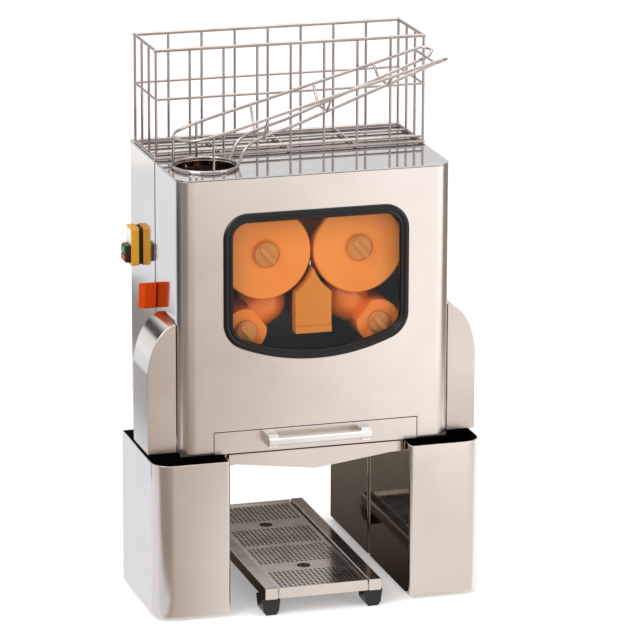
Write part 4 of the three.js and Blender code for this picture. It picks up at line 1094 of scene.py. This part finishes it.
for end, near_y, far_y in (("front", -35.6, 150.8), ("back", 151.2, 337.6)):
    grid, body = drip_grid(near_y, far_y), "grid_" + end
    dress(grid, "grid_sheet_" + end, grid_steel, body, "polished_steel", "drip_grid_" + end)
bpy.data.objects.remove(unit)
coat(black_abs, *both("tray_foot_front", "tray_foot_back"))

# %% [markdown]
# ## Switch and latch
# The switch is a yellow housing with a blank label, on a black seal. The latch is a red lever that
# turns on a pin in the housing, just behind the seam.

# %% Switch and latch
housing = prism(box_outline(199, 438, 228, 492, 4), -203.7, -192.7, "yz")
dress(ease(housing, 1.0, 3), "switch_body", yellow_abs, "machine", "yellow_plastic")
seal = ease(prism(box_outline(200.4, 439.4, 226.6, 490.6, 3), -192.7, -190.3, "yz"), 0.3)
dress(seal, "switch_seal", black_abs, "machine", "black_plastic", "switch_housing")
label = prism(box_outline(202, 468, 225, 489, 1.5), -203.9, -203.6, "yz")
dress(label, "switch_label", label_vinyl, "machine", "yellow_plastic")
coat(black_abs, "switch_block")
coat(stop_abs, "stop_button")
coat(start_abs, "start_button")
lever = prism([(112, 437), (118, 400.2), (149, 392.6), (144.6, 428.8)], -208.1, -190.5, "yz")
lever = cut(lever, prism(circle_outline(132, 411, 4.3), -204.2, -180, "yz"))
dress(ease(lever, 1.8, 4), "latch_lever", red_abs, "latch", "red_plastic", "cover_latch")
coat(machined, "latch_pin")

# %% [markdown]
# ## Studio
# A pale floor under soft light. Floor and world are white to the eye and to mirrors, but light the
# juicer at a plain level, so that colours render as written. Only part of the floor's white is its
# own light, so it keeps the shadow.

# %% Floor
def flat(name, paint, corners):
    """One face with corners in metres."""
    form = bmesh.new()
    form.faces.new([form.verts.new(corner) for corner in corners])
    made = object_from(name, form, solid=False)
    made.data.materials.append(paint)
    return made


floor_paint, floor_tree, floor_shader = material("studio_paint_white", Roughness=0.7)
tone = ramp(floor_tree, pattern(floor_tree, 0.6, 1.0), "#f4f4f3", "#f8f8f7")
link(floor_tree, tone, floor_shader, "Base Color")


def seen_rays(tree):
    """One for rays from the camera, a mirror or a pane, and nought for those that light things."""
    path = add(tree, "ShaderNodeLightPath")
    seen = path.outputs["Is Camera Ray"]
    for kind in ("Is Glossy Ray", "Is Transmission Ray"):
        either = add(tree, "ShaderNodeMath", {"operation": "MAXIMUM"})
        link(tree, seen, either, 0)
        link(tree, path.outputs[kind], either, 1)
        seen = either
    return seen


FLOOR_GLOW, WHITE = 0.3, colour("#ffffff")
glow = spread(floor_tree, seen_rays(floor_tree), 0.0, FLOOR_GLOW)
own_light = add(floor_tree, "ShaderNodeEmission", {"Color": WHITE}, Strength=glow)
both_lights = add(floor_tree, "ShaderNodeAddShader")
link(floor_tree, floor_shader, both_lights, 0)
link(floor_tree, own_light, both_lights, 1)
link(floor_tree, both_lights, floor_tree.nodes["Material Output"], "Surface")
floor = flat("studio_floor", floor_paint, [(-9, -9, 0), (9, -9, 0), (9, 9, 0), (-9, 9, 0)])
print("floor", floor.dimensions.x, "m wide")

# %% World
world = bpy.data.worlds.new("studio_world")
scene.world = world
world.use_nodes = True
sky = world.node_tree
sky.nodes.clear()
strength = spread(sky, seen_rays(sky), 0.75, 1.0)
light = add(sky, "ShaderNodeBackground", {"Color": WHITE}, Strength=strength)
add(sky, "ShaderNodeOutputWorld", Surface=light)
print("world with", len(sky.nodes), "nodes")

# %% [markdown]
# Polished steel shows its surroundings more than itself. A photographer therefore sets cards round
# it: dark ones draw the edges of the bends, tinted ones colour the flats. Only mirrors see these
# cards, whose corners are in metres. They light nothing and throw no shadow.

# %% Cards
def card_paint(name, left, right=None, direction=(1, 0, 0), start=-1.0, end=1.0, strength=1.0):
    """Light of its own, in one colour or shaded to another along a direction."""
    made = bpy.data.materials.new(name)
    made.use_nodes = True
    tree = made.node_tree
    tree.nodes.clear()
    place = add(tree, "ShaderNodeTexCoord")
    along = add(tree, "ShaderNodeVectorMath", {"operation": "DOT_PRODUCT"})
    link(tree, place.outputs["Object"], along, 0)
    along.inputs[1].default_value = direction
    ends = {"From Min": start, "From Max": end}
    share = add(tree, "ShaderNodeMapRange", ends, Value=along.outputs["Value"])
    shade = ramp(tree, share, left, right or left, 0, 1)
    shown = add(tree, "ShaderNodeEmission", {"Strength": strength}, Color=shade)
    add(tree, "ShaderNodeOutputMaterial", Surface=shown)
    return made


def card(name, paint, *corners):
    """A flat card, seen only in mirrors."""
    made = flat(name, paint, corners)
    for ray in ("camera", "diffuse", "shadow", "transmission", "volume_scatter"):
        setattr(made, "visible_" + ray, False)
    print(name)


def lying(name, paint, left, near, right, far, lift=0.001):
    corners = ((left, near), (right, near), (right, far), (left, far))
    card(name, paint, *((x, y, lift) for x, y in corners))


def standing(name, paint, start, end, low, high):
    corners = ((start, low), (end, low), (end, high), (start, high))
    card(name, paint, *((x, y, z) for (x, y), z in corners))


# %% [markdown]
# The front cards are shaded sideways, as the camera sees it, from warm grey to white. Low cards
# reach up to the buckets, since the steel mirrors the floor right before it.

# %% Card colours and places
black_card = card_paint("card_black", "#221f1c")
grey_card = card_paint("card_grey", "#8f8680")
cool_card = card_paint("card_cool_white", "#f4f7ff")
sideways = (0.9575, 0.288, 0)
front_card = card_paint("card_graded", "#9c8f85", "#fffbf9", sideways, -0.25, 0.13, 1.4)
low_card = card_paint("card_graded_low", "#b3a69c", "#f4efeb", sideways, -0.28, -0.17)
bay_card = card_paint("card_graded_bay", "#352e27", "#8c847b", (0, 1, 0), -0.1, 0.7)
dusk_card = card_paint("card_grey_warm", "#978a7f")
wing_card = card_paint("card_graded_wing", "#f2f5fb", "#928d89", (1, 0, 0), -0.6, -0.55)
lying("card_front", front_card, -2.5, -2.6, 2.5, -0.9)
lying("card_front_low", low_card, -2.5, -0.9, 2.5, -0.182)
lying("card_left_low", dusk_card, -1.1, -1.0, -0.232, -0.3, 0.002)
standing("card_left", black_card, (-1.1, -0.12), (-1.1, 0.7), 0.002, 0.45)
standing("card_front_left", grey_card, (-1.1, -1.6), (-1.1, -0.12), 0.002, 0.7)
standing("card_right", grey_card, (1.2, -0.6), (1.2, 0.8), 0.002, 0.7)
lying("card_back_left", cool_card, -1.6, -0.3, -0.2325, 2.4)
lying("card_wing", wing_card, -0.62, 0.4, -0.45, 1.6, 0.002)
lying("card_bay", bay_card, -0.13, -0.15, 0.14, 1.1, 0.002)
standing("card_shoulder", black_card, (-2.4, 4), (-0.6, 4), 0.85, 1.7)
standing("card_tray", grey_card, (-0.1, 1.2), (0.8, 1.2), 0.25, 0.5)


# %% [markdown]
# Three softboxes: a key at the left, a fill at the right and one above. The world lights most, so
# they are weak.

# %% Lamps
def lamp(name, place, target, size, power):
    """A white softbox of a size in metres and a power in watts, aimed at a target."""
    data = bpy.data.lights.new(name, "AREA")
    data.shape = "RECTANGLE"
    data.size, data.size_y = size
    data.energy = power
    made = new_object(name, data)
    made.location = place
    made.rotation_euler = (Vector(target) - Vector(place)).to_track_quat("-Z", "Y").to_euler()
    print(name, power, "W")


lamp("key_softbox", (-2.2, -1.6, 2.4), (0, 0, 0.4), (1.6, 1.6), 42)
lamp("fill_softbox", (2.4, -2.2, 1.2), (0, 0, 0.3), (1.4, 2.0), 14)
lamp("top_softbox", (0.2, 0.4, 2.6), (0, 0, 0.3), (2.0, 1.4), 20)

# %% [markdown]
# ## View transform
# Colours are shown through the Standard view transform.

# %% View transform
scene.view_settings.view_transform = "Standard"
